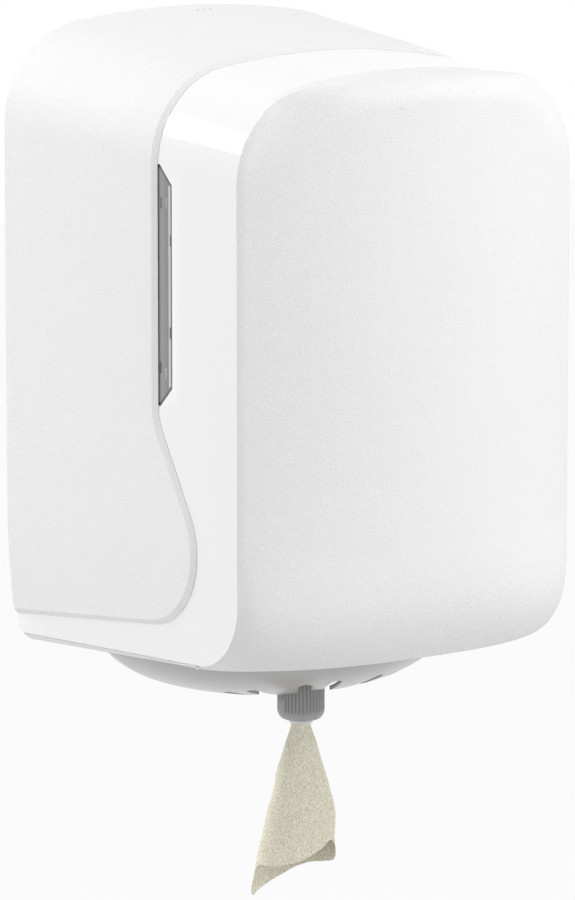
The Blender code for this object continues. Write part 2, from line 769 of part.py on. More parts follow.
def make_latch(case_finish, spring_finish, cover, latch):
    rear = CASE_REAR
    front = CASE_FRONT
    case = piece("lock_case", box(-CASE_HALF_WIDTH, CASE_HALF_WIDTH, rear, front,
                                  CASE_BOTTOM, CASE_TOP), case_finish, cover)
    cavity = box(CASE_WALL - CASE_HALF_WIDTH, CASE_HALF_WIDTH - CASE_WALL, rear + CASE_WALL,
                 front - CASE_WALL, CASE_BOTTOM + CASE_WALL, CASE_TOP + OVERRUN)
    combine(case, cutter("case_cavity", cavity))
    stem_rear = LATCH_DEPTH - STEM_THICKNESS / 2
    stem_front = LATCH_DEPTH + STEM_THICKNESS / 2
    slot = box(-STEM_HALF_WIDTH - 2 * FIT_GAP, STEM_HALF_WIDTH + 2 * FIT_GAP,
               stem_rear - 2 * FIT_GAP, stem_front + 2 * FIT_GAP,
               CASE_BOTTOM - OVERRUN, CASE_BOTTOM + OVERRUN)
    combine(case, cutter("case_slot", slot))
    head_low = LATCH_HEAD_TOP - LATCH_HEAD
    lip_low = STRIKE_TOP - STRIKE_LIP
    arm_top = lip_low - HOOK_GAP
    tooth_front = STRIKE_FRONT - STRIKE_THICKNESS - HOOK_GAP
    tooth_rear = tooth_front - HOOK_THICKNESS
    outline = [(stem_front, LATCH_HEAD_TOP), (stem_rear, LATCH_HEAD_TOP), (stem_rear, arm_top),
               (tooth_front, arm_top), (tooth_front, arm_top + HOOK_GAP + HOOK_TOOTH),
               (tooth_rear, arm_top + HOOK_TOOTH), (tooth_rear, arm_top - HOOK_THICKNESS),
               (stem_front, arm_top - HOOK_THICKNESS)]
    slider = piece("latch_slider", side_prism(outline, -STEM_HALF_WIDTH, STEM_HALF_WIDTH),
                   case_finish, latch)
    head = box(-LATCH_HEAD_HALF_WIDTH, LATCH_HEAD_HALF_WIDTH, rear + CASE_WALL + FIT_GAP,
               front - CASE_WALL - FIT_GAP, head_low, LATCH_HEAD_TOP)
    combine(slider, cutter("latch_head", head), "UNION")
    low = CASE_BOTTOM + CASE_WALL + FIT_GAP + SPRING_WIRE
    high = head_low - FIT_GAP - SPRING_WIRE
    steps = 10 * SPRING_TURNS
    for side, name in ((-1, "left"), (1, "right")):
        loops = []
        for k in range(steps + 1):
            angle = 2 * math.pi * SPRING_TURNS * k / steps
            z = blend(low, high, k / steps)
            loop = []
            for m in range(SPRING_SIDES):
                turn = 2 * math.pi * m / SPRING_SIDES
                radius = SPRING_RADIUS + SPRING_WIRE * math.cos(turn)
                loop.append(point(side * SPRING_X + radius * math.cos(angle),
                                  LATCH_DEPTH + radius * math.sin(angle),
                                  z + SPRING_WIRE * math.sin(turn)))
            loops.append(loop)
        piece(f"latch_spring_{name}", tube(loops), spring_finish, cover)


# Pieces fixed to the wall

def arch_outline(inset):
    """The wall plate's outline seen from the front, from bottom left over the top."""
    low = PLATE_BOTTOM + inset
    offset = -SHELL_WALL - PLATE_INSET - inset
    half = [(-side_x(0.0, low, offset), low), (-side_x(0.0, TUCK_START, offset), TUCK_START)]
    for k in range(CORNER_STEPS + 1):
        x, z = corner_point(0.0, k / CORNER_STEPS, offset)
        half.append((-x, z))
    for k in range(1, CROWN_STEPS + 1):
        x, z = crown_point(0.0, k / CROWN_STEPS, offset)
        half.append((-x, z))
    return half + [(-x, z) for x, z in reversed(half[:-1])]


def make_wall_plate(finish, wall):
    plate = piece("wall_plate", wall_prism(arch_outline(0.0), 0.0, PLATE_FLANGE), finish, wall)
    hollow = wall_prism(arch_outline(PLATE_FLANGE_WALL), PLATE_THICKNESS, PLATE_FLANGE + OVERRUN)
    combine(plate, cutter("plate_hollow", hollow))
    open_foot = box(EAR_THICKNESS - EAR_OUTER, EAR_OUTER - EAR_THICKNESS, PLATE_THICKNESS,
                    PLATE_FLANGE + OVERRUN, PLATE_BOTTOM - OVERRUN, PLATE_BOTTOM + OVERRUN)
    combine(plate, cutter("plate_open_foot", open_foot))
    steps = 2 * FILLET_STEPS
    ear_radius = LUG_RADIUS
    ear = [(0.0, EAR_TOP), (EAR_NECK, EAR_TOP)]
    for k in range(steps + 1):
        angle = math.pi * k / steps
        ear.append((HINGE_DEPTH + ear_radius * math.cos(angle),
                    HINGE_HEIGHT - ear_radius * math.sin(angle)))
    ear.append((0.0, HINGE_HEIGHT))
    for side, name in ((-1, "left"), (1, "right")):
        inner = side * (EAR_OUTER - EAR_THICKNESS)
        combine(plate, cutter(f"ear_{name}", side_prism(ear, inner, side * EAR_OUTER)), "UNION")
        start = point(side * (EAR_OUTER - EAR_THICKNESS - OVERRUN), HINGE_DEPTH, HINGE_HEIGHT)
        end = point(side * (EAR_OUTER + OVERRUN), HINGE_DEPTH, HINGE_HEIGHT)
        combine(plate, cutter(f"ear_bore_{name}", rod(start, end, PIN_RADIUS + FIT_GAP)))
        through = (-OVERRUN, PLATE_THICKNESS + OVERRUN)
        head = circle(side * HOLE_X, HOLE_HIGH, HOLE_HEAD_RADIUS)
        combine(plate, cutter(f"keyhole_{name}", wall_prism(head, *through)))
        slot = [(side * HOLE_X - HOLE_RADIUS, HOLE_HIGH), (side * HOLE_X + HOLE_RADIUS, HOLE_HIGH),
                (side * HOLE_X + HOLE_RADIUS, HOLE_HIGH + HOLE_DROP),
                (side * HOLE_X - HOLE_RADIUS, HOLE_HIGH + HOLE_DROP)]
        combine(plate, cutter(f"keyhole_slot_{name}", wall_prism(slot, *through)))
        low = circle(side * HOLE_X, HOLE_LOW, HOLE_RADIUS)
        combine(plate, cutter(f"low_hole_{name}", wall_prism(low, *through)))
        screw = circle(side * TRAY_SCREW_X, TRAY_SCREW_HEIGHT, SCREW_RADIUS + FIT_GAP)
        combine(plate, cutter(f"tray_screw_hole_{name}", wall_prism(screw, *through)))


def make_pins(finish, wall):
    for side, name in ((-1, "left"), (1, "right")):
        end = side_x(HINGE_DEPTH, HINGE_HEIGHT) - SHELL_WALL - 3 * FIT_GAP
        ear = EAR_OUTER - EAR_THICKNESS - FIT_GAP
        pin = piece(f"hinge_pin_{name}", rod(
            point(side * (ear - PIN_HEAD / 2), HINGE_DEPTH, HINGE_HEIGHT),
            point(side * end, HINGE_DEPTH, HINGE_HEIGHT), PIN_RADIUS), finish, wall)
        head = rod(point(side * (ear - PIN_HEAD), HINGE_DEPTH, HINGE_HEIGHT),
                   point(side * ear, HINGE_DEPTH, HINGE_HEIGHT), PIN_HEAD_RADIUS)
        combine(pin, cutter(f"pin_head_{name}", head), "UNION")


def make_strike(finish, wall):
    rear = PLATE_THICKNESS + FIT_GAP
    low = STRIKE_TOP - STRIKE_THICKNESS
    outline = [(rear, STRIKE_TOP), (STRIKE_FRONT, STRIKE_TOP),
               (STRIKE_FRONT, STRIKE_TOP - STRIKE_LIP),
               (STRIKE_FRONT - STRIKE_THICKNESS, STRIKE_TOP - STRIKE_LIP),
               (STRIKE_FRONT - STRIKE_THICKNESS, low), (rear + STRIKE_THICKNESS, low),
               (rear + STRIKE_THICKNESS, STRIKE_TOP - STRIKE_FOOT), (rear, STRIKE_TOP - STRIKE_FOOT)]
    piece("latch_strike", side_prism(outline, -STRIKE_HALF_WIDTH, STRIKE_HALF_WIDTH), finish, wall)


def screw(name, head, way, length, finish, parent):
    """A screw whose head's inner face is at head, with its shank along way."""
    made = piece(name, rod(head - way * SCREW_HEAD, head, SCREW_HEAD_RADIUS), finish, parent)
    shank = rod(head - way * SCREW_HEAD / 2, head + way * length, SCREW_RADIUS, ROUND_STEPS // 4)
    combine(made, cutter(f"{name}_shank", shank), "UNION")


def make_tray(finish, screw_finish, wall):
    rear = PLATE_THICKNESS + FIT_GAP
    low = TRAY_TOP - TRAY_THICKNESS
    outline = [(-TRAY_HALF_WIDTH, rear)]
    steps = 2 * FILLET_STEPS
    for k in range(steps + 1):
        angle = math.pi * (1 - k / steps)
        outline.append((TRAY_HALF_WIDTH * math.cos(angle),
                        TRAY_STRAIGHT + TRAY_BULGE * math.sin(angle)))
    outline.append((TRAY_HALF_WIDTH, rear))
    tray = piece("roll_tray", flat_prism(outline, low, TRAY_TOP), finish, wall)
    back = box(-TRAY_BACK_HALF_WIDTH, TRAY_BACK_HALF_WIDTH, rear, rear + TRAY_THICKNESS,
               low + FIT_GAP, TRAY_BACK_TOP)
    combine(tray, cutter("tray_back", back), "UNION")
    feed = circle(0.0, FEED_DEPTH, TRAY_HOLE_RADIUS, ROUND_STEPS)
    combine(tray, cutter("tray_feed_hole", flat_prism(feed, low - OVERRUN, TRAY_TOP + OVERRUN)))
    gusset = [(rear + FIT_GAP, low + 2 * FIT_GAP), (GUSSET_DEPTH, low + 2 * FIT_GAP),
              (GUSSET_DEPTH, TRAY_TOP + TRAY_THICKNESS),
              (rear + 2 * TRAY_THICKNESS, TRAY_TOP + GUSSET_HEIGHT),
              (rear + FIT_GAP, TRAY_TOP + GUSSET_HEIGHT)]
    for side, name in ((-1, "left"), (1, "right")):
        web = side_prism(gusset, side * (GUSSET_X - GUSSET_THICKNESS), side * GUSSET_X)
        combine(tray, cutter(f"tray_gusset_{name}", web), "UNION")
        back_hole = circle(side * TRAY_SCREW_X, TRAY_SCREW_HEIGHT, SCREW_RADIUS + FIT_GAP)
        hole = wall_prism(back_hole, rear - OVERRUN / 2, rear + TRAY_THICKNESS + OVERRUN)
        combine(tray, cutter(f"tray_back_hole_{name}", hole))
        front = rear + TRAY_THICKNESS + FIT_GAP
        screw(f"tray_screw_{name}", point(side * TRAY_SCREW_X, front, TRAY_SCREW_HEIGHT),
              Vector((0, 1, 0)), front - FIT_GAP, screw_finish, wall)
    # Bowl screws go down through the tray into the bowl's bosses
    number = 0
    for side in (-1, 1):
        for depth in BOSS_DEPTHS:
            number += 1
            hole = circle(side * BOSS_X, depth, SCREW_RADIUS + FIT_GAP)
            sink = circle(side * BOSS_X, depth, SCREW_HEAD_RADIUS + FIT_GAP)
            seat = TRAY_TOP - SCREW_HEAD - FIT_GAP
            drill = flat_prism(hole, low - OVERRUN, TRAY_TOP)
            combine(tray, cutter(f"bowl_screw_hole_{number}", drill))
            sinking = flat_prism(sink, seat - FIT_GAP, TRAY_TOP + OVERRUN)
            combine(tray, cutter(f"bowl_screw_sink_{number}", sinking))
            screw(f"bowl_screw_{number}", point(side * BOSS_X, depth, seat), Vector((0, 0, -1)),
                  BOSS_HOLE_DEPTH, screw_finish, wall)
    for number in (1, 2, 3):
        angle = math.pi * (2 * number / 3 - 1 / 2)
        x = FUNNEL_SCREW_RADIUS * math.cos(angle)
        d = FEED_DEPTH + FUNNEL_SCREW_RADIUS * math.sin(angle)
        drill = flat_prism(circle(x, d, SCREW_RADIUS + FIT_GAP), low - OVERRUN, TRAY_TOP + OVERRUN)
        combine(tray, cutter(f"funnel_screw_hole_{number}", drill))


def make_funnel(finish, screw_finish, wall):
    top = TRAY_TOP - TRAY_THICKNESS - FIT_GAP
    low = top - FUNNEL_CONE
    inner_neck = NECK_RADIUS - FUNNEL_WALL
    profile = [(FUNNEL_MOUTH_RADIUS, top), (FUNNEL_FLANGE_RADIUS, top),
               (FUNNEL_FLANGE_RADIUS, top - FUNNEL_WALL),
               (FUNNEL_MOUTH_RADIUS + FUNNEL_WALL, top - FUNNEL_WALL),
               (NECK_RADIUS, low), (NECK_RADIUS, NECK_BOTTOM), (inner_neck, NECK_BOTTOM),
               (inner_neck, low)]
    funnel = piece("feed_funnel", turned(profile), finish, wall)
    for number in (1, 2, 3):
        angle = math.pi * (2 * number / 3 - 1 / 2)
        x = FUNNEL_SCREW_RADIUS * math.cos(angle)
        d = FEED_DEPTH + FUNNEL_SCREW_RADIUS * math.sin(angle)
        drill = flat_prism(circle(x, d, SCREW_RADIUS + FIT_GAP), top - 2 * FUNNEL_WALL,
                           top + OVERRUN)
        combine(funnel, cutter(f"funnel_flange_hole_{number}", drill))
        screw(f"funnel_screw_{number}", point(x, d, top - FUNNEL_WALL - FIT_GAP),
              Vector((0, 0, 1)), TRAY_THICKNESS + FUNNEL_WALL, screw_finish, wall)


def bowl_height(x, depth, inset):
    """Height of the bowl's skin, inset inwards from its outer face."""
    reach = (BOWL_FRONT if depth > BOWL_MIDDLE else BOWL_REAR) - inset
    share = math.hypot(x / (BOWL_HALF_WIDTH - inset), (depth - BOWL_MIDDLE) / reach)
    low = BOWL_BOTTOM + inset
    round_share = (1 - min(share, 1.0) ** BOWL_POWER) ** (1 / BOWL_ROUND)
    return low + (BOWL_TOP - low) * (1 - round_share)


def bowl_grid(inset, hole):
    """Rings of points on the bowl, from the opening to the rim."""
    grid = []
    shares = (0.0, 0.14, 0.28, 0.42, 0.56, 0.70, 0.82, 0.90, 0.955, 0.985, 1.0)
    steps = ROUND_STEPS + ROUND_STEPS // 4
    for share in shares:
        ring = []
        for k in range(steps):
            angle = 2 * math.pi * k / steps
            reach = (BOWL_FRONT if math.sin(angle) > 0 else BOWL_REAR) - inset
            x = blend(hole * math.cos(angle), (BOWL_HALF_WIDTH - inset) * math.cos(angle), share)
            d = blend(FEED_DEPTH + hole * math.sin(angle), BOWL_MIDDLE + reach * math.sin(angle),
                      share)
            ring.append(point(x, d, bowl_height(x, d, inset) if share < 1 else BOWL_TOP))
        grid.append(ring)
    return grid


def make_bowl(finish, wall):
    outer = bowl_grid(0.0, HOLE_RADIUS_WIDE)
    inner = bowl_grid(BOWL_WALL, HOLE_RADIUS_WIDE)
    bowl = piece("feed_bowl", ring_tube(outer + inner[::-1]), finish, wall)
    number = 0
    for side in (-1, 1):
        for depth in BOSS_DEPTHS:
            number += 1
            outward = BOSS_RADIUS if depth > BOWL_MIDDLE else -BOSS_RADIUS
            low = bowl_height(BOSS_X + BOSS_RADIUS, depth + outward, 0.0) + BOWL_WALL / 2
            top = TRAY_TOP - TRAY_THICKNESS - FIT_GAP
            boss = rod(point(side * BOSS_X, depth, low), point(side * BOSS_X, depth, top),
                       BOSS_RADIUS)
            combine(bowl, cutter(f"boss_{number}", boss), "UNION")
            deep = TRAY_TOP - SCREW_HEAD - BOSS_HOLE_DEPTH - 2 * FIT_GAP
            hole = rod(point(side * BOSS_X, depth, deep - FIT_GAP),
                       point(side * BOSS_X, depth, top + OVERRUN), SCREW_RADIUS + FIT_GAP)
            combine(bowl, cutter(f"boss_hole_{number}", hole))
    reach = HOLE_SLOT_REACH
    shoulder = blend(reach, HOLE_RADIUS_TONGUE, HOLE_SLOT_ROUND_SHARE)
    near = HOLE_SLOT_SPREAD - HOLE_SLOT_TURN
    far = HOLE_SLOT_SPREAD + HOLE_SLOT_TURN
    start = HOLE_RADIUS_WIDE - OVERRUN
    half = [(far, start), (far, shoulder), (blend(far, near, HOLE_SLOT_ROUND_SHARE), reach),
            (blend(near, far, HOLE_SLOT_ROUND_SHARE), reach), (near, shoulder),
            (near, HOLE_RADIUS_TONGUE + FIT_GAP), (near / 2, HOLE_RADIUS_TONGUE)]
    outline = half + [(-turn, radius) for turn, radius in reversed(half)]
    for pair in range(HOLE_SLOT_PAIRS):
        middle = 2 * math.pi * (pair + 1 / 2) / HOLE_SLOT_PAIRS
        flat = [(radius * math.sin(middle + turn), FEED_DEPTH + radius * math.cos(middle + turn))
                for turn, radius in outline]
        slot = flat_prism(flat, BOWL_BOTTOM - OVERRUN, BOWL_TOP)
        combine(bowl, cutter(f"bowl_slots_{pair + 1}", slot))


# Nozzle

def make_collar(finish, insert_finish, nozzle):
    steps = 2 * RIB_COUNT
    inner = NECK_RADIUS + FIT_GAP
    mouth = INSERT_RADIUS + FIT_GAP
    profile = [(inner, COLLAR_TOP, 0), (COLLAR_RADIUS, COLLAR_TOP, 1),
               (COLLAR_RADIUS, PAD_HEIGHT, 1), (COLLAR_RADIUS, PAD_HEIGHT - FIT_GAP, 2),
               (COLLAR_RADIUS, COLLAR_SHOULDER, 2)]
    rounding = 4
    for k in range(1, rounding + 1):
        angle = math.pi / 2 * k / rounding
        profile.append((blend(COLLAR_MOUTH_RADIUS, COLLAR_RADIUS, math.cos(angle)),
                        blend(COLLAR_SHOULDER, COLLAR_BOTTOM, math.sin(angle)), 0))
    profile += [(mouth, COLLAR_BOTTOM, 0), (mouth, COLLAR_FLOOR, 0), (inner, COLLAR_FLOOR, 0)]
    loops = []
    for radius, z, ribbed in profile:
        loop = []
        for k in range(steps):
            angle = 2 * math.pi * k / steps
            dip = RIB_DEPTH if ribbed and k % 2 else 0.0
            if ribbed == 2 and PAD_START < angle < PAD_END:
                dip = 0.0
            loop.append(point((radius - dip) * math.cos(angle),
                              FEED_DEPTH + (radius - dip) * math.sin(angle), z))
        loops.append(loop)
    piece("nozzle_collar", ring_tube(loops), finish, nozzle)
    flange_low = COLLAR_FLOOR + FIT_GAP
    bore = INSERT_BORE
    insert = [(bore, INSERT_BOTTOM), (INSERT_RADIUS, INSERT_BOTTOM), (INSERT_RADIUS, flange_low),
              (INSERT_FLANGE_RADIUS, flange_low), (INSERT_FLANGE_RADIUS, flange_low + INSERT_FLANGE),
              (bore, flange_low + INSERT_FLANGE)]
    piece("nozzle_insert", turned(insert), insert_finish, nozzle)


# Paper

def make_roll(finish, wall):
    low = TRAY_TOP + FIT_GAP
    profile = [(ROLL_BORE, low), (ROLL_RADIUS, low), (ROLL_RADIUS, ROLL_TOP),
               (ROLL_BORE, ROLL_TOP)]
    piece("paper_roll", turned(profile, ROUND_STEPS + ROUND_STEPS // 2), finish, wall)


def tail_loop(share, wall, hem):
    """A closed loop of the hanging cone, at this share of the way down to its hem."""
    count = len(TAIL_HEM_SHARES)
    sideways = Vector((math.cos(TAIL_TURN), math.sin(TAIL_TURN), 0))
    facing = Vector((math.sin(TAIL_TURN), -math.cos(TAIL_TURN), 0))
    loop = []
    for k in range(2 * count):
        angle = math.pi * k / count
        low = TAIL_HEM_SHARES[k // 2]
        if k % 2:
            low = (low + TAIL_HEM_SHARES[(k // 2 + 1) % count]) / 2
        down = share * low
        width = between(TAIL_HALF_WIDTHS, TAIL_HEIGHT_SHARES, down)
        shift = between(TAIL_SHIFTS, TAIL_HEIGHT_SHARES, down)
        fold = TAIL_FOLD * down * math.cos(angle * TAIL_FOLDS)
        thin = blend(0.0, wall, min(down / TAIL_HEIGHT_SHARES[1], 1.0)) if hem else 0.0
        across = (width + fold - thin) * math.cos(angle) + shift
        toward = (blend(width, width * TAIL_DEPTH_SHARE, min(2 * down, 1.0)) + fold - thin)
        place = sideways * across + facing * toward * math.sin(angle)
        loop.append(place + point(0, FEED_DEPTH, TAIL_TOP - down * TAIL_LENGTH))
    return loop


def make_tail(finish, paper):
    """One sheet: a strand through the nozzle that opens into a hanging cone."""
    count = 2 * len(TAIL_HEM_SHARES)
    loops = []
    for z in (STRAND_TOP, TAIL_TOP):
        ring = []
        for k in range(count):
            angle = TAIL_TURN + 2 * math.pi * k / count
            ring.append(Vector((STRAND_RADIUS * math.cos(angle),
                                STRAND_RADIUS * math.sin(angle) - FEED_DEPTH, z)))
        loops.append(ring)
    shares = (0.06, 0.16, 0.28, 0.40, 0.52, 0.64, 0.76, 0.88, 1.0)
    turned_over = [tail_loop(share, 0.0, False) for share in shares]
    # The cone's loops run from the right towards the camera side, as the strand's do reversed
    loops = [ring[:1] + ring[:0:-1] for ring in loops]
    outer = loops + turned_over
    inner = [tail_loop(share, TAIL_WALL, True) for share in shares[:1:-1]]
    piece("paper_tail", tube(outer + inner), finish, paper)


def main():
    clear_scene()
    textured = material("textured_plastic", (0.86, 0.86, 0.86), 0.6)
    panel_finish = material("panel_plastic", (0.86, 0.86, 0.86), 0.6)
    glossy = material("glossy_plastic", (0.88, 0.88, 0.88), 0.12)
    smoke = material("smoke_plastic", (0.20, 0.20, 0.20), 0.15, alpha=0.6)
    white = material("white_plastic", (0.80, 0.80, 0.80), 0.4)
    bowl_finish = material("bowl_plastic", (0.82, 0.82, 0.82), 0.4)
    grey = material("grey_plastic", (0.30, 0.30, 0.31), 0.4)
    clear = material("insert_plastic", (0.75, 0.75, 0.75), 0.3)
    steel = material("steel", (0.55, 0.55, 0.56), 0.35, metallic=1.0)
    paper_finish = material("paper", (0.78, 0.76, 0.66), 0.9)
    roll_finish = material("roll_paper", (0.80, 0.78, 0.70), 0.9)

    wall = pivot("wall_unit", Vector((0, 0, 0)))
    cover = pivot("cover_hinge", point(0, HINGE_DEPTH, HINGE_HEIGHT))
    latch = pivot("latch", point(0, LATCH_DEPTH, LATCH_HEAD_TOP))
    nozzle = pivot("nozzle", point(0, FEED_DEPTH, COLLAR_TOP))
    paper = pivot("paper", point(0, FEED_DEPTH, TAIL_TOP))

    holes = key_hole_cuts()
    rounding = corner_cut()
    make_shell(glossy, cover, holes, rounding)
    make_hood(textured, cover, holes)
    make_panel(panel_finish, cover, rounding)
    make_pane("window_left", -1, smoke, cover)
    make_pane("window_right", 1, smoke, cover)
    make_latch(grey, steel, cover, latch)
    make_wall_plate(white, wall)
    make_strike(steel, wall)
    make_pins(steel, wall)
    make_tray(white, steel, wall)
    make_funnel(white, steel, wall)
    make_bowl(bowl_finish, wall)
    make_collar(grey, clear, nozzle)
    make_roll(roll_finish, wall)
    make_tail(paper_finish, paper)


main()
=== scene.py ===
import math

import bmesh
import bpy
from mathutils import Matrix, Vector, noise


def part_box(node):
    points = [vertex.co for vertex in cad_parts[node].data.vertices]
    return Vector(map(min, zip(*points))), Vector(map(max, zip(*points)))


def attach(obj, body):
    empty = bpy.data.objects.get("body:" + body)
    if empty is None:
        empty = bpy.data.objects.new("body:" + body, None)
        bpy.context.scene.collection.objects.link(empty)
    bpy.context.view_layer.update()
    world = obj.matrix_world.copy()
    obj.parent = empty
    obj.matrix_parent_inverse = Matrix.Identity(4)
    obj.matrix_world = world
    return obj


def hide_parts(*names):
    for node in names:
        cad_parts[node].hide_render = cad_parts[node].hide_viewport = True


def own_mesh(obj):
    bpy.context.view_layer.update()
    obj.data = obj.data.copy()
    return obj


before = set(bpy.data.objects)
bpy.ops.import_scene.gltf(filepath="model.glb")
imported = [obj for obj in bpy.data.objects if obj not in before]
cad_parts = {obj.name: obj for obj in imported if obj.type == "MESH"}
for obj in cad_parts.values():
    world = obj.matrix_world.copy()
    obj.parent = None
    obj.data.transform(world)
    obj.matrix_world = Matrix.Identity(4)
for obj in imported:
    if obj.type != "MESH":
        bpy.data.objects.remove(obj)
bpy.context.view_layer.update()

# Centrefeed roll dispenser for a wall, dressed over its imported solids.
# Metres. The wall is Y = 0 and the front faces -Y. A depth is a distance in front of the wall.

body = {
    "halfWidth": 0.125, "halfHeight": 0.175, "rearGap": 0.001, "fitGap": 0.0003,
    "hoodDepth": 0.129, "partingDepth": 0.2015, "hoodProud": 0.0018, "wall": 0.0025,
    "breakHalfWidth": 0.1148, "frontHalfWidth": 0.1120, "breakTop": 0.1583, "frontTop": 0.1515,
    "rearCorner": 0.0477, "frontCorner": 0.0417, "crown": 0.015, "cornerPower": 2.25,
    "bottomRear": -0.1714, "bottomFront": -0.1656, "fillet": 0.038,
    "tuckStart": -0.100, "tuckRear": 0.0067, "tuckFront": 0.0008, "overrun": 0.004,
    "feedDepth": 0.1073, "hingeDepth": 0.011, "hingeHeight": -0.165, "hingeCorner": 0.010,
    "cornerSteps": 20, "crownSteps": 20, "filletSteps": 16, "tuckSteps": 4,
    "depthSteps": 6,
}
window = {"front": 0.1452, "rear": 0.1240, "top": 0.1024, "bottom": -0.0279, "chamfer": 0.0105}
weld = {"near": 3e-6, "tiny": 1e-6}


# Small helpers

def blend(low, high, share):
    return low + (high - low) * share


def even(low, high, count):
    return [blend(low, high, k / count) for k in range(count + 1)]


def onArc(middle, radius, angle):
    return middle[0] + radius * math.cos(angle), middle[1] + radius * math.sin(angle)


def clipped(share):
    return min(max(share, 0.0), 1.0)


def between(values, places, place):
    for k in range(1, len(places)):
        if place <= places[k]:
            share = (place - places[k - 1]) / (places[k] - places[k - 1])
            return blend(values[k - 1], values[k], share)
    return values[-1]


def curveThrough(before, start, end, after, share):
    leave = (end - before) / 2
    arrive = (after - start) / 2
    square = share * share
    cube = square * share
    return ((2 * cube - 3 * square + 1) * start + (cube - 2 * square + share) * leave
            + (3 * square - 2 * cube) * end + (cube - square) * arrive)


def smoothBetween(values, places, place):
    last = len(values) - 1
    k = next((k for k in range(1, last) if place <= places[k]), last)
    share = clipped((place - places[k - 1]) / (places[k] - places[k - 1]))
    return curveThrough(values[max(k - 2, 0)], values[k - 1], values[k],
                        values[min(k + 1, last)], share)


def spot(x, depth, z):
    return Vector((x, -depth, z))


def gridFaces(bm, grid, wrap=False):
    rows = [[bm.verts.new(p) for p in row] for row in grid]
    columns = len(rows[0])
    for low, high in zip(rows, rows[1:]):
        for j in range(columns if wrap else columns - 1):
            k = (j + 1) % columns
            bm.faces.new([low[j], low[k], high[k], high[j]])


def gridEdge(grid):
    right = [row[-1] for row in grid[1:-1]]
    left = [row[0] for row in grid[-2:0:-1]]
    return grid[0] + right + grid[-1][::-1] + left


def wallBetween(outer, inner, outerEdge, innerEdge):
    bm = bmesh.new()
    for grid in outer + inner:
        gridFaces(bm, grid)
    gridFaces(bm, [outerEdge + outerEdge[:1], innerEdge + innerEdge[:1]])
    return bm


def loopTube(loops, closeEnds=True):
    bm = bmesh.new()
    gridFaces(bm, loops if closeEnds else loops + loops[:1], wrap=True)
    if closeEnds:
        for loop in (loops[0], loops[-1]):
            bm.faces.new([bm.verts.new(p) for p in loop])
    return bm


def sidePrism(outline, left, right):
    return loopTube([[spot(x, d, z) for d, z in outline] for x in (left, right)])


def rodBetween(start, end, radius, sides=48):
    bm = bmesh.new()
    bmesh.ops.create_cone(bm, cap_ends=True, segments=sides, radius1=radius, radius2=radius,
                          depth=(end - start).length)
    turn = Vector((0, 0, 1)).rotation_difference(end - start).to_matrix().to_4x4()
    bmesh.ops.transform(bm, matrix=Matrix.Translation((start + end) / 2) @ turn, verts=bm.verts)
    return bm


def mirrored(points):
    return [Vector((-p.x, p.y, p.z)) for p in reversed(points)]


def linked(name, data):
    obj = bpy.data.objects.new(name, data)
    bpy.context.scene.collection.objects.link(obj)
    return obj


def newObject(name, bm, closed=True):
    if closed:
        bmesh.ops.remove_doubles(bm, verts=bm.verts, dist=weld["near"])
        bmesh.ops.dissolve_degenerate(bm, dist=weld["tiny"], edges=bm.edges)
        bmesh.ops.recalc_face_normals(bm, faces=bm.faces)
    mesh = bpy.data.meshes.new(name)
    bm.to_mesh(mesh)
    bm.free()
    return linked(name, mesh)


def cutOrJoin(obj, bm, operation="DIFFERENCE"):
    tool = newObject(obj.name + "Tool", bm)
    modifier = obj.modifiers.new(tool.name, "BOOLEAN")
    modifier.operation = operation
    modifier.solver = "EXACT"
    modifier.object = tool
    return tool


def soften(obj, width, angle=40):
    bevel = obj.modifiers.new("soften", "BEVEL")
    bevel.width = width
    bevel.segments = 2
    bevel.limit_method = "ANGLE"
    bevel.angle_limit = math.radians(angle)
    bevel.use_clamp_overlap = True


def shadeSmooth(obj, sharp):
    obj.data.shade_smooth()
    obj.data.set_sharp_from_angle(angle=math.radians(sharp))
    return obj


def settle(obj, tools=(), sharp=38):
    graph = bpy.context.evaluated_depsgraph_get()
    graph.update()
    mesh = bpy.data.meshes.new_from_object(obj.evaluated_get(graph), depsgraph=graph)
    obj.modifiers.clear()
    obj.data = mesh
    for tool in tools:
        bpy.data.objects.remove(tool)
    return shadeSmooth(obj, sharp)


def finish(obj, material):
    obj.data.materials.clear()
    obj.data.materials.append(material)


def dress(obj, material, rides, *replaced):
    finish(obj, material)
    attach(obj, rides)
    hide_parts(*replaced)


# Node helpers, for both shader trees and geometry trees. A wire is an output that sums can use.

class Wire:
    def __init__(self, socket):
        self.socket = socket

    def __add__(self, other):
        return calc("ADD", self, other)

    def __sub__(self, other):
        return calc("SUBTRACT", self, other)

    def __rsub__(self, other):
        return calc("SUBTRACT", other, self)

    def __mul__(self, other):
        return calc("MULTIPLY", self, other)

    def __truediv__(self, other):
        return calc("DIVIDE", self, other)

    def __rtruediv__(self, other):
        return calc("DIVIDE", other, self)

    def __pow__(self, other):
        return calc("POWER", self, other)

    def __gt__(self, other):
        return calc("GREATER_THAN", self, other)

    def __lt__(self, other):
        return calc("LESS_THAN", self, other)


def feed(node, inputs):
    for key, value in inputs.items():
        for given in value if isinstance(value, list) else [value]:
            if isinstance(given, Wire):
                node.id_data.links.new(given.socket, node.inputs[key])
            else:
                node.inputs[key].default_value = given


def addNode(tree, kind, inputs=None, **settings):
    made = tree.nodes.new(kind)
    for key, value in settings.items():
        setattr(made, key, value)
    feed(made, inputs or {})
    return made


def wire(tree, kind, inputs=None, output=0, **settings):
    return Wire(addNode(tree, kind, inputs, **settings).outputs[output])


def calc(operation, *values):
    tree = next(value.socket.id_data for value in values if isinstance(value, Wire))
    return wire(tree, "ShaderNodeMath", dict(enumerate(values)), operation=operation)


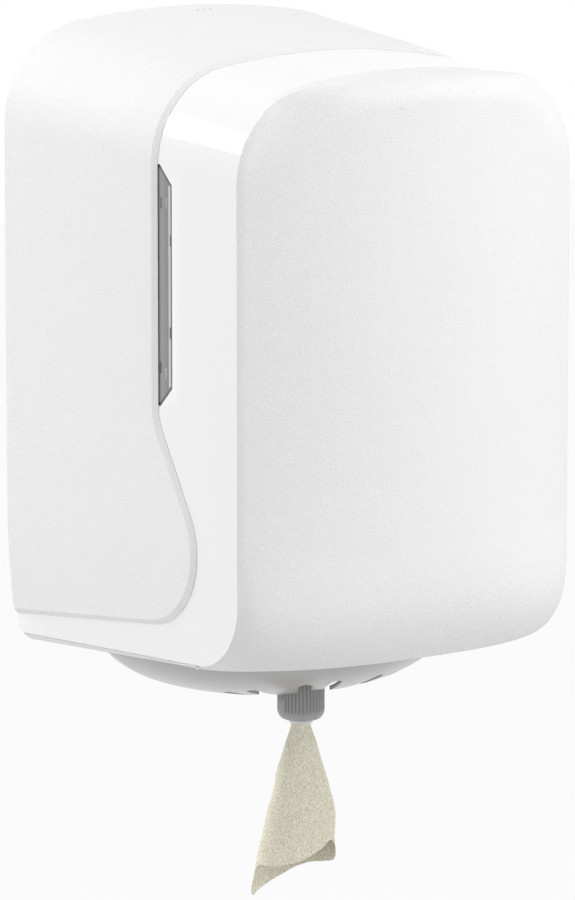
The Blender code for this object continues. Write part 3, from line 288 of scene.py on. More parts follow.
def ramp(value, low, high, toLow=0.0, toHigh=1.0):
    return wire(value.socket.id_data, "ShaderNodeMapRange", {
        "Value": value, "From Min": low, "From Max": high, "To Min": toLow, "To Max": toHigh})


def pick(test, yes, no):
    return test * yes + (1.0 - test) * no


def vector(tree, **parts):
    return wire(tree, "ShaderNodeCombineXYZ", parts)


def split(tree, value):
    parts = addNode(tree, "ShaderNodeSeparateXYZ", {"Vector": value}).outputs
    return [Wire(part) for part in parts]


def newGroup(name, kind, inputs, outputs):
    kinds = {int: "NodeSocketInt", float: "NodeSocketFloat", tuple: "NodeSocketColor"}
    tree = bpy.data.node_groups.new(name, kind)
    for label, value in inputs.items():
        socketType = kinds.get(type(value), value)
        socket = tree.interface.new_socket(label, in_out="INPUT", socket_type=socketType)
        if socketType != value:
            socket.default_value = value
    for label, socketType in outputs.items():
        tree.interface.new_socket(label, in_out="OUTPUT", socket_type=socketType)
    start = tree.nodes.new("NodeGroupInput")
    end = tree.nodes.new("NodeGroupOutput")
    return tree, {socket.name: Wire(socket) for socket in start.outputs}, end


# Shader groups and the parts that materials share

def tone(value):
    return (*value, 1.0) if isinstance(value, tuple) else (value, value, value, 1.0)


def objectPlace(tree):
    return wire(tree, "ShaderNodeTexCoord", output="Object")


def mixColors(tree, share, first, second, way="MIX"):
    return wire(tree, "ShaderNodeMix", {0: share, 6: first, 7: second}, output=2,
                data_type="RGBA", blend_type=way)


def bumped(tree, height, look):
    return wire(tree, "ShaderNodeBump", {"Height": height, "Strength": look["bump"],
                                         "Distance": look["relief"]})


def buildMouldGrain():
    tree, given, end = newGroup("mouldGrain", "ShaderNodeTree",
                                {"Grain Size": 0.0006, "Softness": 0.5, "Pit Share": 0.45},
                                {"Height": "NodeSocketFloat", "Tone": "NodeSocketFloat"})
    place = wire(tree, "ShaderNodeMapping", {"Vector": objectPlace(tree),
                                             "Rotation": (0.62, 0.55, 0.78)})
    scale = 1.0 / given["Grain Size"]
    fine = wire(tree, "ShaderNodeTexNoise", {"Vector": place, "Scale": scale, "Detail": 3.0,
                                             "Roughness": given["Softness"]})
    pits = wire(tree, "ShaderNodeTexVoronoi", {"Vector": place, "Scale": scale},
                feature="SMOOTH_F1")
    feed(end, {"Height": calc("MULTIPLY_ADD", pits, given["Pit Share"], fine),
               "Tone": ramp(fine, low=0.3, high=0.7)})
    return tree


def buildHandledSurface():
    tree, given, end = newGroup("handledSurface", "ShaderNodeTree", {
        "Base": tone(0.8), "Aged": tone(0.7), "Amount": 0.3, "Patch Size": 0.04,
        "Roughness": 0.5, "Roughness Spread": 0.06},
        {"Color": "NodeSocketColor", "Roughness": "NodeSocketFloat"})
    cloud = wire(tree, "ShaderNodeTexNoise", {
        "Vector": objectPlace(tree), "Scale": 1.0 / given["Patch Size"], "Detail": 4.0,
        "Roughness": 0.55})
    share = ramp(cloud, low=0.35, high=0.75)
    feed(end, {"Color": mixColors(tree, share * given["Amount"], given["Base"], given["Aged"]),
               "Roughness": calc("MULTIPLY_ADD", share - 0.5, given["Roughness Spread"],
                                 given["Roughness"])})
    return tree


mouldGrain = buildMouldGrain()
handledSurface = buildHandledSurface()


def startMaterial(name, look):
    made = bpy.data.materials.new(name)
    made.use_nodes = True
    tree = made.node_tree
    surface = addNode(tree, "ShaderNodeGroup", {
        "Base": tone(look["base"]), "Aged": tone(look["aged"]), "Amount": look["amount"],
        "Patch Size": look["patch"], "Roughness": look["roughness"],
        "Roughness Spread": look["spread"]}, node_tree=handledSurface).outputs
    shader = tree.nodes["Principled BSDF"]
    feed(shader, {"Roughness": Wire(surface["Roughness"])})
    return made, tree, shader, Wire(surface["Color"])


# Plastics and bare steel

hardLook = {"amount": 0.4, "softness": 0.5, "specular": 0.4, "metallic": 0.0, "coat": 0.0,
            "coatRoughness": 0.1, "coatIor": 1.5}


def hardSurface(name, **changes):
    look = {**hardLook, **changes}
    made, tree, shader, color = startMaterial(name, look)
    grain = addNode(tree, "ShaderNodeGroup", {"Grain Size": look["grain"],
                                              "Softness": look["softness"]},
                    node_tree=mouldGrain).outputs
    feed(shader, {
        "Base Color": mixColors(tree, Wire(grain["Tone"]) * look["speckle"], color,
                                tone(look["dark"])),
        "Normal": bumped(tree, Wire(grain["Height"]), look),
        "Specular IOR Level": look["specular"], "Metallic": look["metallic"],
        "Coat Weight": look["coat"], "Coat Roughness": look["coatRoughness"],
        "Coat IOR": look["coatIor"]})
    return made


grainedWhite = hardSurface(
    "grainedWhite", base=0.84, aged=(0.82, 0.82, 0.815), dark=0.60, patch=0.07, roughness=0.62,
    spread=0.08, grain=0.0008, softness=0.6, speckle=0.36, bump=1.0, relief=0.00028,
    specular=0.35)
polishedWhite = hardSurface(
    "polishedWhite", base=0.84, aged=(0.82, 0.82, 0.815), dark=0.8, patch=0.09, roughness=0.09,
    spread=0.03, grain=0.02, softness=0.3, speckle=0.03, bump=0.03, relief=0.0003,
    specular=0.5, coat=0.2, coatRoughness=0.03)
plainWhite = hardSurface(
    "plainWhite", base=0.74, aged=(0.70, 0.70, 0.69), dark=0.6, amount=0.5, patch=0.05,
    roughness=0.45, spread=0.1, grain=0.0012, speckle=0.08, bump=0.25, relief=0.0001)
# The bowl's dark grey is partly its own colour and partly painted shade, darkened for the shade
# under the cover's overhang.
bowlPlastic = hardSurface(
    "bowlPlastic", base=(0.32, 0.32, 0.325), aged=0.29, dark=0.25, patch=0.04, roughness=0.45,
    spread=0.06, grain=0.0009, speckle=0.12, bump=0.3, relief=0.00015, specular=0.6, coat=1.0,
    coatRoughness=0.25, coatIor=1.8)
collarPlastic = hardSurface(
    "collarPlastic", base=(0.36, 0.36, 0.365), aged=0.31, dark=0.27, amount=0.5, patch=0.008,
    roughness=0.38, spread=0.08, grain=0.0007, speckle=0.1, bump=0.2, relief=0.00008)
palePlastic = hardSurface(
    "palePlastic", base=0.70, aged=(0.66, 0.66, 0.65), dark=0.6, patch=0.01, roughness=0.35,
    spread=0.06, grain=0.0008, speckle=0.05, bump=0.15, relief=0.00006)
clipPlastic = hardSurface(
    "clipPlastic", base=(0.10, 0.10, 0.105), aged=0.14, dark=0.06, patch=0.004, roughness=0.5,
    spread=0.06, grain=0.0006, speckle=0.1, bump=0.2, relief=0.00006)
steel = hardSurface(
    "bareSteel", base=(0.56, 0.56, 0.57), aged=0.42, dark=0.42, patch=0.003, roughness=0.32,
    spread=0.15, grain=0.0003, softness=0.6, speckle=0.0, bump=0.15, relief=0.00003,
    specular=0.5, metallic=1.0)


# The pane: a paler strip behind the hood's edge, which is painted light, a painted highlight along
# its front edge for the lit cut wall, and a dark outline

def smokedPane(name, **look):
    made, tree, shader, color = startMaterial(name, look)
    _, y, z = split(tree, objectPlace(tree))
    depth = y * -1.0
    chamfer = window["chamfer"]
    fromEnd = ((window["top"] - window["bottom"]) / 2
               - calc("ABSOLUTE", z - (window["top"] + window["bottom"]) / 2))
    fromFront = window["front"] - depth
    slanted = (fromEnd + fromFront - chamfer) * math.sqrt(0.5)
    fromEdge = calc("MINIMUM", calc("MINIMUM", fromEnd, fromFront), slanted)
    outline = ramp(fromEdge, look["outlineFrom"], look["outlineTo"], 1.0, 0.0)
    # Painted highlight: a bright band along the pane's front edge stands for the lit wall of the
    # window's cut.
    step = (ramp(fromFront, look["stepTo"], look["stepFrom"])
            * ramp(fromEnd, chamfer, chamfer + look["stepFade"]))
    # Painted light: the rear strip of the pane, by the hood's edge, is made paler.
    behind = ramp(depth, look["stripDepth"] + look["stripFade"], look["stripDepth"])
    for share, key in ((behind, "pale"), (step, "bright"), (outline, "dark")):
        color = mixColors(tree, share, color, tone(look[key]))
    feed(shader, {"Base Color": color, "Alpha": look["alpha"]})
    return made


# The paler rear strip is painted light and the bright front band is a painted highlight.
smokePane = smokedPane(
    "smokePane", base=(0.34, 0.34, 0.33), aged=(0.31, 0.31, 0.30), pale=(0.52, 0.52, 0.51),
    bright=(0.74, 0.74, 0.73), dark=0.17, amount=0.4, patch=0.03, roughness=0.14, spread=0.05,
    alpha=0.72, outlineFrom=0.00161, outlineTo=0.00253, stepFrom=0.00378, stepTo=0.0042,
    stepFade=0.001, stripDepth=0.1315, stripFade=0.008)


# Paper

paperLook = {"amount": 0.6, "patch": 0.012, "roughness": 0.93, "spread": 0.05, "specular": 0.15}


def tissuePaper(name, **changes):
    look = {**paperLook, **changes}
    made, tree, shader, color = startMaterial(name, look)
    place = wire(tree, "ShaderNodeMapping", {"Vector": objectPlace(tree),
                                             "Scale": look["stretch"]})
    crepe = wire(tree, "ShaderNodeTexNoise", {
        "Vector": place, "Scale": 1 / look["crepe"], "Detail": 2.0, "Roughness": 0.55,
        "Distortion": 0.3})
    shade = mixColors(tree, ramp(crepe, low=0.35, high=0.65), tone(look["dark"]), tone(1.0))
    feed(shader, {"Base Color": mixColors(tree, 1.0, color, shade, "MULTIPLY"),
                  "Normal": bumped(tree, crepe, look),
                  "Specular IOR Level": look["specular"]})
    return made


tailPaper = tissuePaper(
    "tailPaper", base=(0.97, 0.935, 0.78), aged=(0.94, 0.90, 0.75), dark=(0.72, 0.705, 0.66),
    crepe=0.0008, stretch=(1.0, 1.0, 0.7), bump=1.0, relief=0.001)
rollPaper = tissuePaper(
    "rollPaper", base=(0.80, 0.78, 0.68), aged=(0.76, 0.74, 0.63), dark=(0.84, 0.83, 0.80),
    crepe=0.0018, stretch=(1.0, 1.0, 0.5), bump=0.7, relief=0.0005)
print("materials made")


# Geometry Nodes helpers

def runTree(obj, tree, material, values, sharp=38):
    modifier = obj.modifiers.new(tree.name, "NODES")
    modifier.node_group = tree
    values = {**values, "Finish": material}
    for item in tree.interface.items_tree:
        if item.in_out == "INPUT" and item.name in values:
            modifier[item.identifier] = values[item.name]
    settle(obj)
    bm = bmesh.new()
    bm.from_mesh(obj.data)
    bmesh.ops.remove_doubles(bm, verts=bm.verts, dist=weld["tiny"])
    bmesh.ops.recalc_face_normals(bm, faces=bm.faces)
    bm.to_mesh(obj.data)
    bm.free()
    return shadeSmooth(obj, sharp)


# In a piece's dictionary, the values whose names start with a capital are its tree's inputs.
def geometryGroup(name, values):
    chosen = {key: value for key, value in values.items() if key[0].isupper()}
    inputs = {"Geometry": "NodeSocketGeometry", **chosen, "Finish": "NodeSocketMaterial"}
    return newGroup(name, "GeometryNodeTree", inputs, {"Geometry": "NodeSocketGeometry"})


def endTree(tree, given, end, geometry):
    real = wire(tree, "GeometryNodeRealizeInstances", {"Geometry": geometry})
    feed(end, {"Geometry": wire(tree, "GeometryNodeSetMaterial", {
        "Geometry": real, "Material": given["Finish"]})})
    return tree


def moved(tree, geometry, **way):
    return wire(tree, "GeometryNodeTransform", {"Geometry": geometry, **way})


def cube(tree, x, y, z):
    return wire(tree, "GeometryNodeMeshCube", {"Size": vector(tree, X=x, Y=y, Z=z)})


def combined(tree, operation, inputs):
    return wire(tree, "GeometryNodeMeshBoolean", inputs, operation=operation, solver="MANIFOLD")


def roundGrid(tree, around, rows):
    grid = wire(tree, "GeometryNodeMeshGrid", {
        "Size X": 1.0, "Size Y": 1.0, "Vertices X": around + 1.0, "Vertices Y": rows + 1.0})
    x, y, _ = split(tree, wire(tree, "GeometryNodeInputPosition"))
    return grid, (x + 0.5) * math.tau, calc("MODULO", calc("ROUND", (y + 0.5) * rows), rows)


def shapedGrid(tree, grid, x, y, z):
    shaped = wire(tree, "GeometryNodeSetPosition", {"Geometry": grid,
                                                    "Position": vector(tree, X=x, Y=y, Z=z)})
    return wire(tree, "GeometryNodeMergeByDistance", {"Geometry": shaped,
                                                      "Distance": weld["tiny"]})


# Turned pieces, with flutes and a smooth pad where asked

turning = {"Sides": 96, "Profile Points": 8, "Axis Depth": body["feedDepth"], "Flutes": 0.0,
           "Flute Depth": 0.0, "Flute Low": 0.0, "Flute High": 0.0, "Flute Fade": 0.001,
           "Flute Radius": 0.0, "Pad Start": 0.0, "Pad End": 0.0, "Pad Top": 0.0}


def buildFlutedTurning():
    tree, given, end = geometryGroup("flutedTurning", turning)
    grid, angle, row = roundGrid(tree, given["Sides"], given["Profile Points"])
    radius, _, height = split(tree, wire(tree, "GeometryNodeSampleIndex", {
        "Geometry": given["Geometry"], "Index": row,
        "Value": wire(tree, "GeometryNodeInputPosition")}, data_type="FLOAT_VECTOR"))
    wave = calc("MULTIPLY_ADD", calc("COSINE", angle * given["Flutes"]), -0.5, 0.5)
    low, high, fade = given["Flute Low"], given["Flute High"], given["Flute Fade"]
    onPad = ((angle > given["Pad Start"]) * (angle < given["Pad End"])
             * (height < given["Pad Top"]))
    mask = (ramp(height, low, low + fade) * ramp(height, high, high - fade)
            * (radius > given["Flute Radius"]) * (1.0 - onPad))
    out = radius - wave * given["Flute Depth"] * mask
    return endTree(tree, given, end, shapedGrid(
        tree, grid, out * calc("COSINE", angle),
        out * calc("SINE", angle) - given["Axis Depth"], height))


flutedTurning = buildFlutedTurning()


def turnedPiece(name, profile, material, changes, sharp=38):
    bm = bmesh.new()
    for radius, z in profile:
        bm.verts.new((radius, 0.0, z))
    values = {**turning, **changes, "Profile Points": len(profile)}
    return runTree(newObject(name, bm, closed=False), flutedTurning, material, values, sharp)


def roundedProfile(corners, radius, steps=4, room=2.5):
    made = []
    for k, corner in enumerate(corners):
        here = Vector(corner)
        before = Vector(corners[k - 1]) - here
        after = Vector(corners[(k + 1) % len(corners)]) - here
        reach = min(radius, before.length / room, after.length / room)
        start = here + before.normalized() * reach
        end = here + after.normalized() * reach
        for step in range(steps + 1):
            share = step / steps
            p = start * (1 - share) ** 2 + here * 2 * share * (1 - share) + end * share ** 2
            made.append((p.x, p.y))
    return made


# The cover's skin, shared by shell, hood and front panel

def atDepth(rear, middle, front, depth):
    return between((rear, middle, front), (0.0, body["hoodDepth"], body["partingDepth"]), depth)


def halfWidth(depth):
    return atDepth(body["halfWidth"] - body["hoodProud"], body["breakHalfWidth"],
                   body["frontHalfWidth"], depth)


def topHeight(depth):
    return atDepth(body["halfHeight"] - body["hoodProud"], body["breakTop"],
                   body["frontTop"], depth)


def cornerRadius(depth):
    return blend(body["rearCorner"], body["frontCorner"], min(depth / body["partingDepth"], 1.0))


def cornerStart(depth):
    return topHeight(depth) - body["crown"] - cornerRadius(depth)


def tuck(depth, z):
    share = max(body["tuckStart"] - z, 0.0) / (body["tuckStart"] + body["halfHeight"])
    amount = blend(body["tuckRear"], body["tuckFront"], min(depth / body["partingDepth"], 1.0))
    return amount * share ** 2


def sideX(depth, z, offset=0.0):
    radius = cornerRadius(depth)
    upward = max(z - cornerStart(depth), 0.0) / radius
    power = body["cornerPower"]
    across = (1 - min(upward, 1.0) ** power) ** (1 / power)
    return halfWidth(depth) - radius * (1 - across) - tuck(depth, z) + offset


def cornerPoint(depth, turn, offset):
    width = halfWidth(depth) + offset
    radius = cornerRadius(depth) + offset
    power = 2 / body["cornerPower"]
    across = math.cos(turn * math.pi / 2) ** power if turn < 1 else 0.0
    upward = math.sin(turn * math.pi / 2) ** power
    x = width - radius + radius * across
    z = cornerStart(depth) + radius * upward
    return x, z + body["crown"] * upward * (1 - (x / width) ** 2)


def crownPoint(depth, share, offset):
    width = halfWidth(depth) + offset
    x = (halfWidth(depth) - cornerRadius(depth)) * (1 - share)
    z = topHeight(depth) + offset - body["crown"]
    return x, z + body["crown"] * (1 - (x / width) ** 2)


def capOutline(depth, offset=0.0):
    corner, crown = body["cornerSteps"], body["crownSteps"]
    return ([cornerPoint(depth, k / corner, offset) for k in range(corner + 1)]
            + [crownPoint(depth, k / crown, offset) for k in range(1, crown + 1)])


def skinRows(frontEdge, lowestRear, level, offset, stops):
    low = frontEdge[0][1]
    last = frontEdge[-1][0]
    rows = []
    for step in range(len(stops(last))):
        half = []
        for depth, z in frontEdge:
            rearZ = z if z >= level else blend(lowestRear, level, (z - low) / (level - low))
            d = stops(depth)[step]
            height = blend(rearZ, z, (d - body["rearGap"]) / (depth - body["rearGap"]))
            half.append(spot(-sideX(d, height, offset), d, height))
        d = stops(last)[step]
        half += [spot(-x, d, z) for x, z in capOutline(d, offset)]
        rows.append(half + mirrored(half[:-1]))
    return rows


def partingEdge():
    parting = body["partingDepth"]
    edge = []
    for k in range(body["filletSteps"] + 1):
        angle = math.pi / 2 * (1 - k / body["filletSteps"])
        edge.append((parting - body["fillet"] * (1 - math.cos(angle)),
                     body["bottomFront"] + body["fillet"] * (1 - math.sin(angle))))
    sides = even(edge[-1][1], body["tuckStart"], body["tuckSteps"])[1:] + [window["bottom"]]
    return edge + [(parting, z) for z in sides]


def windowPrism(left, right):
    front, rear, top, bottom, chamfer = window.values()
    return sidePrism([(rear, bottom), (front - chamfer, bottom), (front, bottom + chamfer),
                      (front, top - chamfer), (front - chamfer, top), (rear, top)], left, right)


def hingeRounding(steps=24):
    corner = body["hingeCorner"]
    reach = corner + body["overrun"]
    depth = body["hingeDepth"]
    height = body["hingeHeight"]
    outline = [(depth, height - corner), (depth, height - reach), (depth - reach, height - reach),
               (depth - reach, height), (depth - corner, height)]
    outline += [onArc((depth, height), corner, math.pi * (1 + k / (2 * steps)))
                for k in range(1, steps)]
    return sidePrism(outline, -2 * body["halfWidth"], 2 * body["halfWidth"])


keyHoles = {"radius": 0.0011, "pitch": 0.0044, "depth": 0.016, "low": 0.1638, "high": 0.179}


def keyHoleRods():
    return [rodBetween(spot(k * keyHoles["pitch"], keyHoles["depth"], keyHoles["low"]),
                       spot(k * keyHoles["pitch"], keyHoles["depth"], keyHoles["high"]),
                       keyHoles["radius"], sides=24) for k in (-1, 0, 1)]


# Cover shell

shellSizes = {"lugRadius": 0.0058, "lugInner": 0.1035, "pinRadius": 0.003, "edge": 0.00035,
              "rimBand": 0.0006}


def shellStops(depth):
    rear = even(body["rearGap"], body["hoodDepth"], body["depthSteps"])
    front = even(body["hoodDepth"], depth, body["depthSteps"])[1:-1]
    return rear + front + [depth - shellSizes["rimBand"], depth]


def makeCoverShell():
    outer, inner = [skinRows(partingEdge(), body["bottomRear"], window["bottom"], offset,
                             shellStops) for offset in (0.0, -body["wall"])]
    shell = newObject("coverShell", wallBetween([outer], [inner], gridEdge(outer), gridEdge(inner)))
    tools = []
    gap = body["fitGap"]
    inward = shellSizes["lugInner"]
    hinge = (body["hingeDepth"], body["hingeHeight"])
    wall = sideX(*hinge) - body["wall"]
    deep = halfWidth(window["front"]) - body["wall"] - body["overrun"]
    for side in (-1, 1):
        lug = rodBetween(spot(side * inward, *hinge),
                         spot(side * (wall + body["wall"] / 2), *hinge), shellSizes["lugRadius"])
        bore = rodBetween(spot(side * (inward - body["overrun"]), *hinge),
                          spot(side * (wall - gap), *hinge), shellSizes["pinRadius"] + gap)
        tools += [cutOrJoin(shell, lug, "UNION"), cutOrJoin(shell, bore),
                  cutOrJoin(shell, windowPrism(side * deep, side * body["halfWidth"]))]
    tools += [cutOrJoin(shell, cut) for cut in keyHoleRods() + [hingeRounding()]]
    soften(shell, shellSizes["edge"])
    settle(shell, tools)
    dress(shell, polishedWhite, "cover", "cover_shell")


# Rear hood, with its lobe low down and a bevelled edge

hood = {"bevel": 0.0040, "bottomBevel": 0.0027, "edge": 0.0003, "seam": 0.00004, "rise": 0.095,
        "lobeRadius": 0.0400, "lobeDepth": 0.1223, "lobeHeight": -0.1057, "neckRadius": 0.0327,
        "slant": math.radians(29.5), "steps": 40,
        "bevelShares": (0.0, 0.05, 0.12, 0.2, 0.94, 1.0),
        "bevelDrops": (0.0, 0.01, 0.06, 0.14, 0.94, 1.0)}


def hoodStops(depth):
    return even(body["rearGap"], depth, 2 * body["depthSteps"])


def hoodEdge(reach, bottomReach):
    steps = hood["steps"]
    slant = hood["slant"]
    first = math.atan(hood["rise"]) - math.pi / 2
    edge = []
    for k in range(steps + 1):
        angle = blend(first, slant, k / steps)
        radius = hood["lobeRadius"] + blend(bottomReach, reach, min(2 * k / steps, 1.0))
        edge.append(onArc((hood["lobeDepth"], hood["lobeHeight"]), radius, angle))
    radii = hood["lobeRadius"] + hood["neckRadius"]
    neckDepth = body["hoodDepth"] + hood["neckRadius"]
    run = (hood["lobeDepth"] + radii * math.cos(slant) - neckDepth) / math.sin(slant)
    neckHeight = hood["lobeHeight"] + radii * math.sin(slant) + run * math.cos(slant)
    return edge + [onArc((neckDepth, neckHeight), hood["neckRadius"] - reach,
                         math.pi + slant * (1 - 2 * k / steps)) for k in range(steps // 2 + 1)]


def hoodGrid(offset, edgeOffset):
    rings = []
    level = hoodEdge(0.0, 0.0)[-1][1]
    for share, drop in zip(hood["bevelShares"], hood["bevelDrops"]):
        edge = hoodEdge(hood["bevel"] * share, hood["bottomBevel"] * share)
        rear = edge[0][1] - hood["rise"] * (edge[0][0] - body["rearGap"])
        rings.append(skinRows(edge, rear, level, blend(offset, edgeOffset, drop), hoodStops))
    main, feet = rings[0], rings[1:]
    grid = []
    for i, row in enumerate(main):
        left = [ring[i][0] for ring in feet[::-1]]
        right = [ring[i][-1] for ring in feet]
        grid.append(left + row + right)
    for k in range(len(feet)):
        left = [ring[-1][0] for ring in feet[:k:-1]]
        right = [ring[-1][-1] for ring in feet[k + 1:]]
        same = feet[k][-1]
        grid.append(left + [same[0]] * (k + 1) + same + [same[-1]] * (k + 1) + right)
    return grid


def makeRearHood():
    outer = hoodGrid(body["hoodProud"], hood["edge"])
    inner = hoodGrid(body["fitGap"], hood["seam"])
    made = newObject("rearHood", wallBetween([outer], [inner], gridEdge(outer), gridEdge(inner)))
    settle(made, [cutOrJoin(made, hole) for hole in keyHoleRods()], sharp=30)
    dress(made, grainedWhite, "cover", "rear_hood")


# Front panel with the rim below the shell

panel = {"wall": 0.003, "edge": 0.0012, "step": 0.001, "bulge": 0.0345, "topRound": 0.017,
         "topShare": 0.5, "topFall": 0.035, "recessStart": -0.105, "recess": 0.019,
         "fullness": 2.1, "lowFullness": 2.6, "lowSharpness": 0.55,
         "chamferIn": 0.0025, "chamferOut": 0.0026, "crispFrom": 0.093, "softFrom": 0.055,
         "rimRise": 0.047, "rimWidth": 0.0043, "lip": 0.0015, "lipHeight": 0.005,
         "lipStart": 0.026, "rimReach": 0.1643, "lean": 0.0022, "barSteps": 24, "soft": 0.0003,
         "ringShares": (0.0, 0.0, 0.0, 0.012, 0.025, 0.04, 0.06, 0.08, 0.10, 0.12, 0.14, 0.16, 0.18)}


def rimHeight(depth):
    return -body["halfHeight"] + panel["rimRise"] * depth


def shellBottom(depth):
    share = min(depth / (body["partingDepth"] - body["fillet"]), 1.0)
    return blend(body["bottomRear"], body["bottomFront"], share)


def softShare(x):
    share = clipped((panel["crispFrom"] - abs(x)) / (panel["crispFrom"] - panel["softFrom"]))
    return share * share * (3 - 2 * share)


def panelTop(x):
    width = body["frontHalfWidth"] + panel["step"]
    radius = body["frontCorner"] + panel["step"]
    power = body["cornerPower"]
    across = clipped((abs(x) - width + radius) / radius)
    upward = (1 - across ** power) ** (1 / power)
    base = cornerStart(body["partingDepth"])
    return base + radius * upward + body["crown"] * upward * (1 - (x / width) ** 2)


def faceDepth(x, z, width, start):
    under = clipped((panel["recessStart"] - z) / (panel["recessStart"] - body["bottomFront"])) ** 3
    middle = body["partingDepth"] + panel["edge"] + panel["bulge"] - panel["recess"] * under
    foot = start + 2 * body["fitGap"] + panel["chamferOut"]
    inward = clipped(abs(x) / (width - panel["chamferIn"]))
    low = clipped((body["tuckStart"] - z) / (body["tuckStart"] - body["bottomFront"]))
    across = 1 - inward ** blend(panel["fullness"], panel["lowFullness"], low)
    across = across ** blend(1.0, panel["lowSharpness"], low)
    soft = softShare(x)
    below = clipped((panelTop(x) - z) / blend(panel["topFall"], panel["topRound"], soft))
    slow = 1 - (1 - below) ** 2
    edge = panel["topShare"] * soft
    upright = edge + (1 - edge) * blend(slow, math.sqrt(slow), soft)
    return foot + (middle - foot) * across * upright


def panelRing(place, across, upward, width, softness, inset):
    x, z, start = place
    gap = body["fitGap"]
    back = panel["wall"] + gap if inset else 0.0
    chamfer = panel["chamferIn"]
    x += across * (panel["step"] - back)
    z += upward * (panel["step"] - back)
    shares = panel["ringShares"]
    last = len(shares) - 2
    ring = []
    for j in range(-1, last + 1):
        over = math.pi / 2 * max(j, 0) / last
        cut = chamfer if j > 0 else 0.0
        here = x * (1 - across * shares[j + 1]) - across * cut
        height = z - upward * blend(cut, panel["topRound"] * (1 - math.cos(over)), softness)
        full = here + across * back
        tall = height + upward * back
        face = faceDepth(full, tall, width, start)
        crisp = face
        if j <= 0:
            crisp = faceDepth(full - across * chamfer, tall - upward * chamfer, width, start)
            crisp -= panel["chamferOut"]
        depth = max(blend(crisp, face, softness) - inset, start + 2 * gap)
        ring.append(spot(-here, depth if j >= 0 else start + gap, height))
    return ring


def panelSkin(inset):
    edge = partingEdge()
    parting = body["partingDepth"]
    outline = [(sideX(d, z), z, d) for d, z in edge]
    outline += [(x, z, parting) for x, z in capOutline(parting)]
    sideCount = len(edge) + body["cornerSteps"] + 1
    columns = 2 * body["crownSteps"]
    rings = []
    face = []
    for i, place in enumerate(outline):
        x, z, start = place
        if i < len(edge):
            across, upward, width, softness = 1.0, 0.0, x + panel["step"], 0.0
        else:
            low = outline[i - 1]
            high = outline[i + 1] if i + 1 < len(outline) else (-low[0], low[1])
            across, upward = Vector((high[1] - low[1], low[0] - high[0])).normalized()
            width = halfWidth(parting) + panel["step"]
            softness = softShare(x)
        left = panelRing(place, across, upward, width, softness, inset)
        rings.append(left)
        if i < sideCount:
            height = left[-1].z
            middle = []
            for k in range(1, columns):
                x = left[-1].x * (1 - 2 * k / columns)
                middle.append(spot(x, faceDepth(x, height, width, start) - inset, height))
            face.append(left + middle + mirrored(left))
    face[0] = [spot(p.x, -p.y, rimHeight(-p.y)) for p in face[0]]
    top = []
    for j in range(len(rings[0])):
        half = [ring[j] for ring in rings[sideCount - 1:]]
        top.append(half + mirrored(half[:-1]))
    start = len(rings[0]) - 1
    face[-1][start + 1:start + columns] = [p.copy() for p in top[-1][1:columns]]
    return face, top


def panelEdge(face, top):
    left = [row[0] for row in face]
    right = [row[-1] for row in face]
    return left[:-1] + top[0] + right[-2::-1] + face[0][-2:0:-1]


def rimBar(side, start, low, high, near, far, frontStep, lean=0.0):
    loops = []
    for d in even(start, panel["rimReach"], panel["barSteps"]):
        step = frontStep * d / panel["rimReach"]
        corners = ((low(d), near + step - lean), (high(d), near + step), (high(d), far),
                   (low(d), far))
        loops.append([spot(side * sideX(d, z, offset), d, z) for z, offset in corners])
    return loopTube(loops)


def makeFrontPanel():
    gap = body["fitGap"]
    width = panel["rimWidth"]
    outer = panelSkin(0.0)
    inner = panelSkin(panel["wall"])
    made = newObject("frontPanel", wallBetween(list(outer), list(inner), panelEdge(*outer),
                                               panelEdge(*inner)))
    tools = []
    for side in (-1, 1):
        bar = rimBar(side, body["rearGap"], rimHeight, lambda d: shellBottom(d) - gap,
                     0.0, -width, panel["step"], panel["lean"])
        lip = rimBar(side, panel["lipStart"], lambda d: rimHeight(d) + gap,
                     lambda d: shellBottom(d) + panel["lipHeight"],
                     panel["lip"] - width, gap - width, 0.0)
        tools += [cutOrJoin(made, bar, "UNION"), cutOrJoin(made, lip, "UNION")]
    tools.append(cutOrJoin(made, hingeRounding()))
    soften(made, panel["soft"], angle=50)
    settle(made, tools, sharp=40)
    dress(made, grainedWhite, "cover", "front_panel")


# Bowl below the tray: a dome with paired slots round its opening

bowl = {"Half Width": 0.107, "Rear Reach": 0.057, "Front Reach": 0.112, "Middle": 0.0706,
        "Top": -0.166, "Bottom": -0.2036, "Wall": 0.0025, "Dome Power": 2.65,
        "Round Power": 1.4, "Hole Radius": 0.0335, "Tongue Radius": 0.040,
        "Slot Reach": 0.055, "Slot Half Width": 0.0036, "Slot Spread": math.radians(9.6),
        "Cut Height": 0.08, "Cut Inset": 0.004, "Rim Share": 0.9999,
        "Feed Depth": body["feedDepth"],
        "Around": 144, "Rings": 22, "Slot Pairs": 7, "edge": 0.0004}


def buildBowlCutter(tree, given):
    near = given["Hole Radius"] - given["Cut Inset"]
    half = given["Slot Half Width"]
    roundAt = given["Slot Reach"] - half

    def block(far, width):
        return moved(tree, cube(tree, far - near, width, given["Cut Height"]),
                     Translation=vector(tree, X=(near + far) * 0.5))

    roundEnd = wire(tree, "GeometryNodeMeshCylinder", {
        "Vertices": 32, "Radius": half, "Depth": given["Cut Height"]})
    slot = combined(tree, "UNION", {"Mesh 2": [
        block(roundAt, half * 2.0), moved(tree, roundEnd, Translation=vector(tree, X=roundAt))]})
    slots = [moved(tree, slot, Rotation=vector(tree, Z=given["Slot Spread"] * way))
             for way in (-1.0, 1.0)]
    tongue = block(given["Tongue Radius"],
                   given["Tongue Radius"] * calc("SINE", given["Slot Spread"]) * 2.0)
    return combined(tree, "UNION", {"Mesh 2": slots + [tongue]})


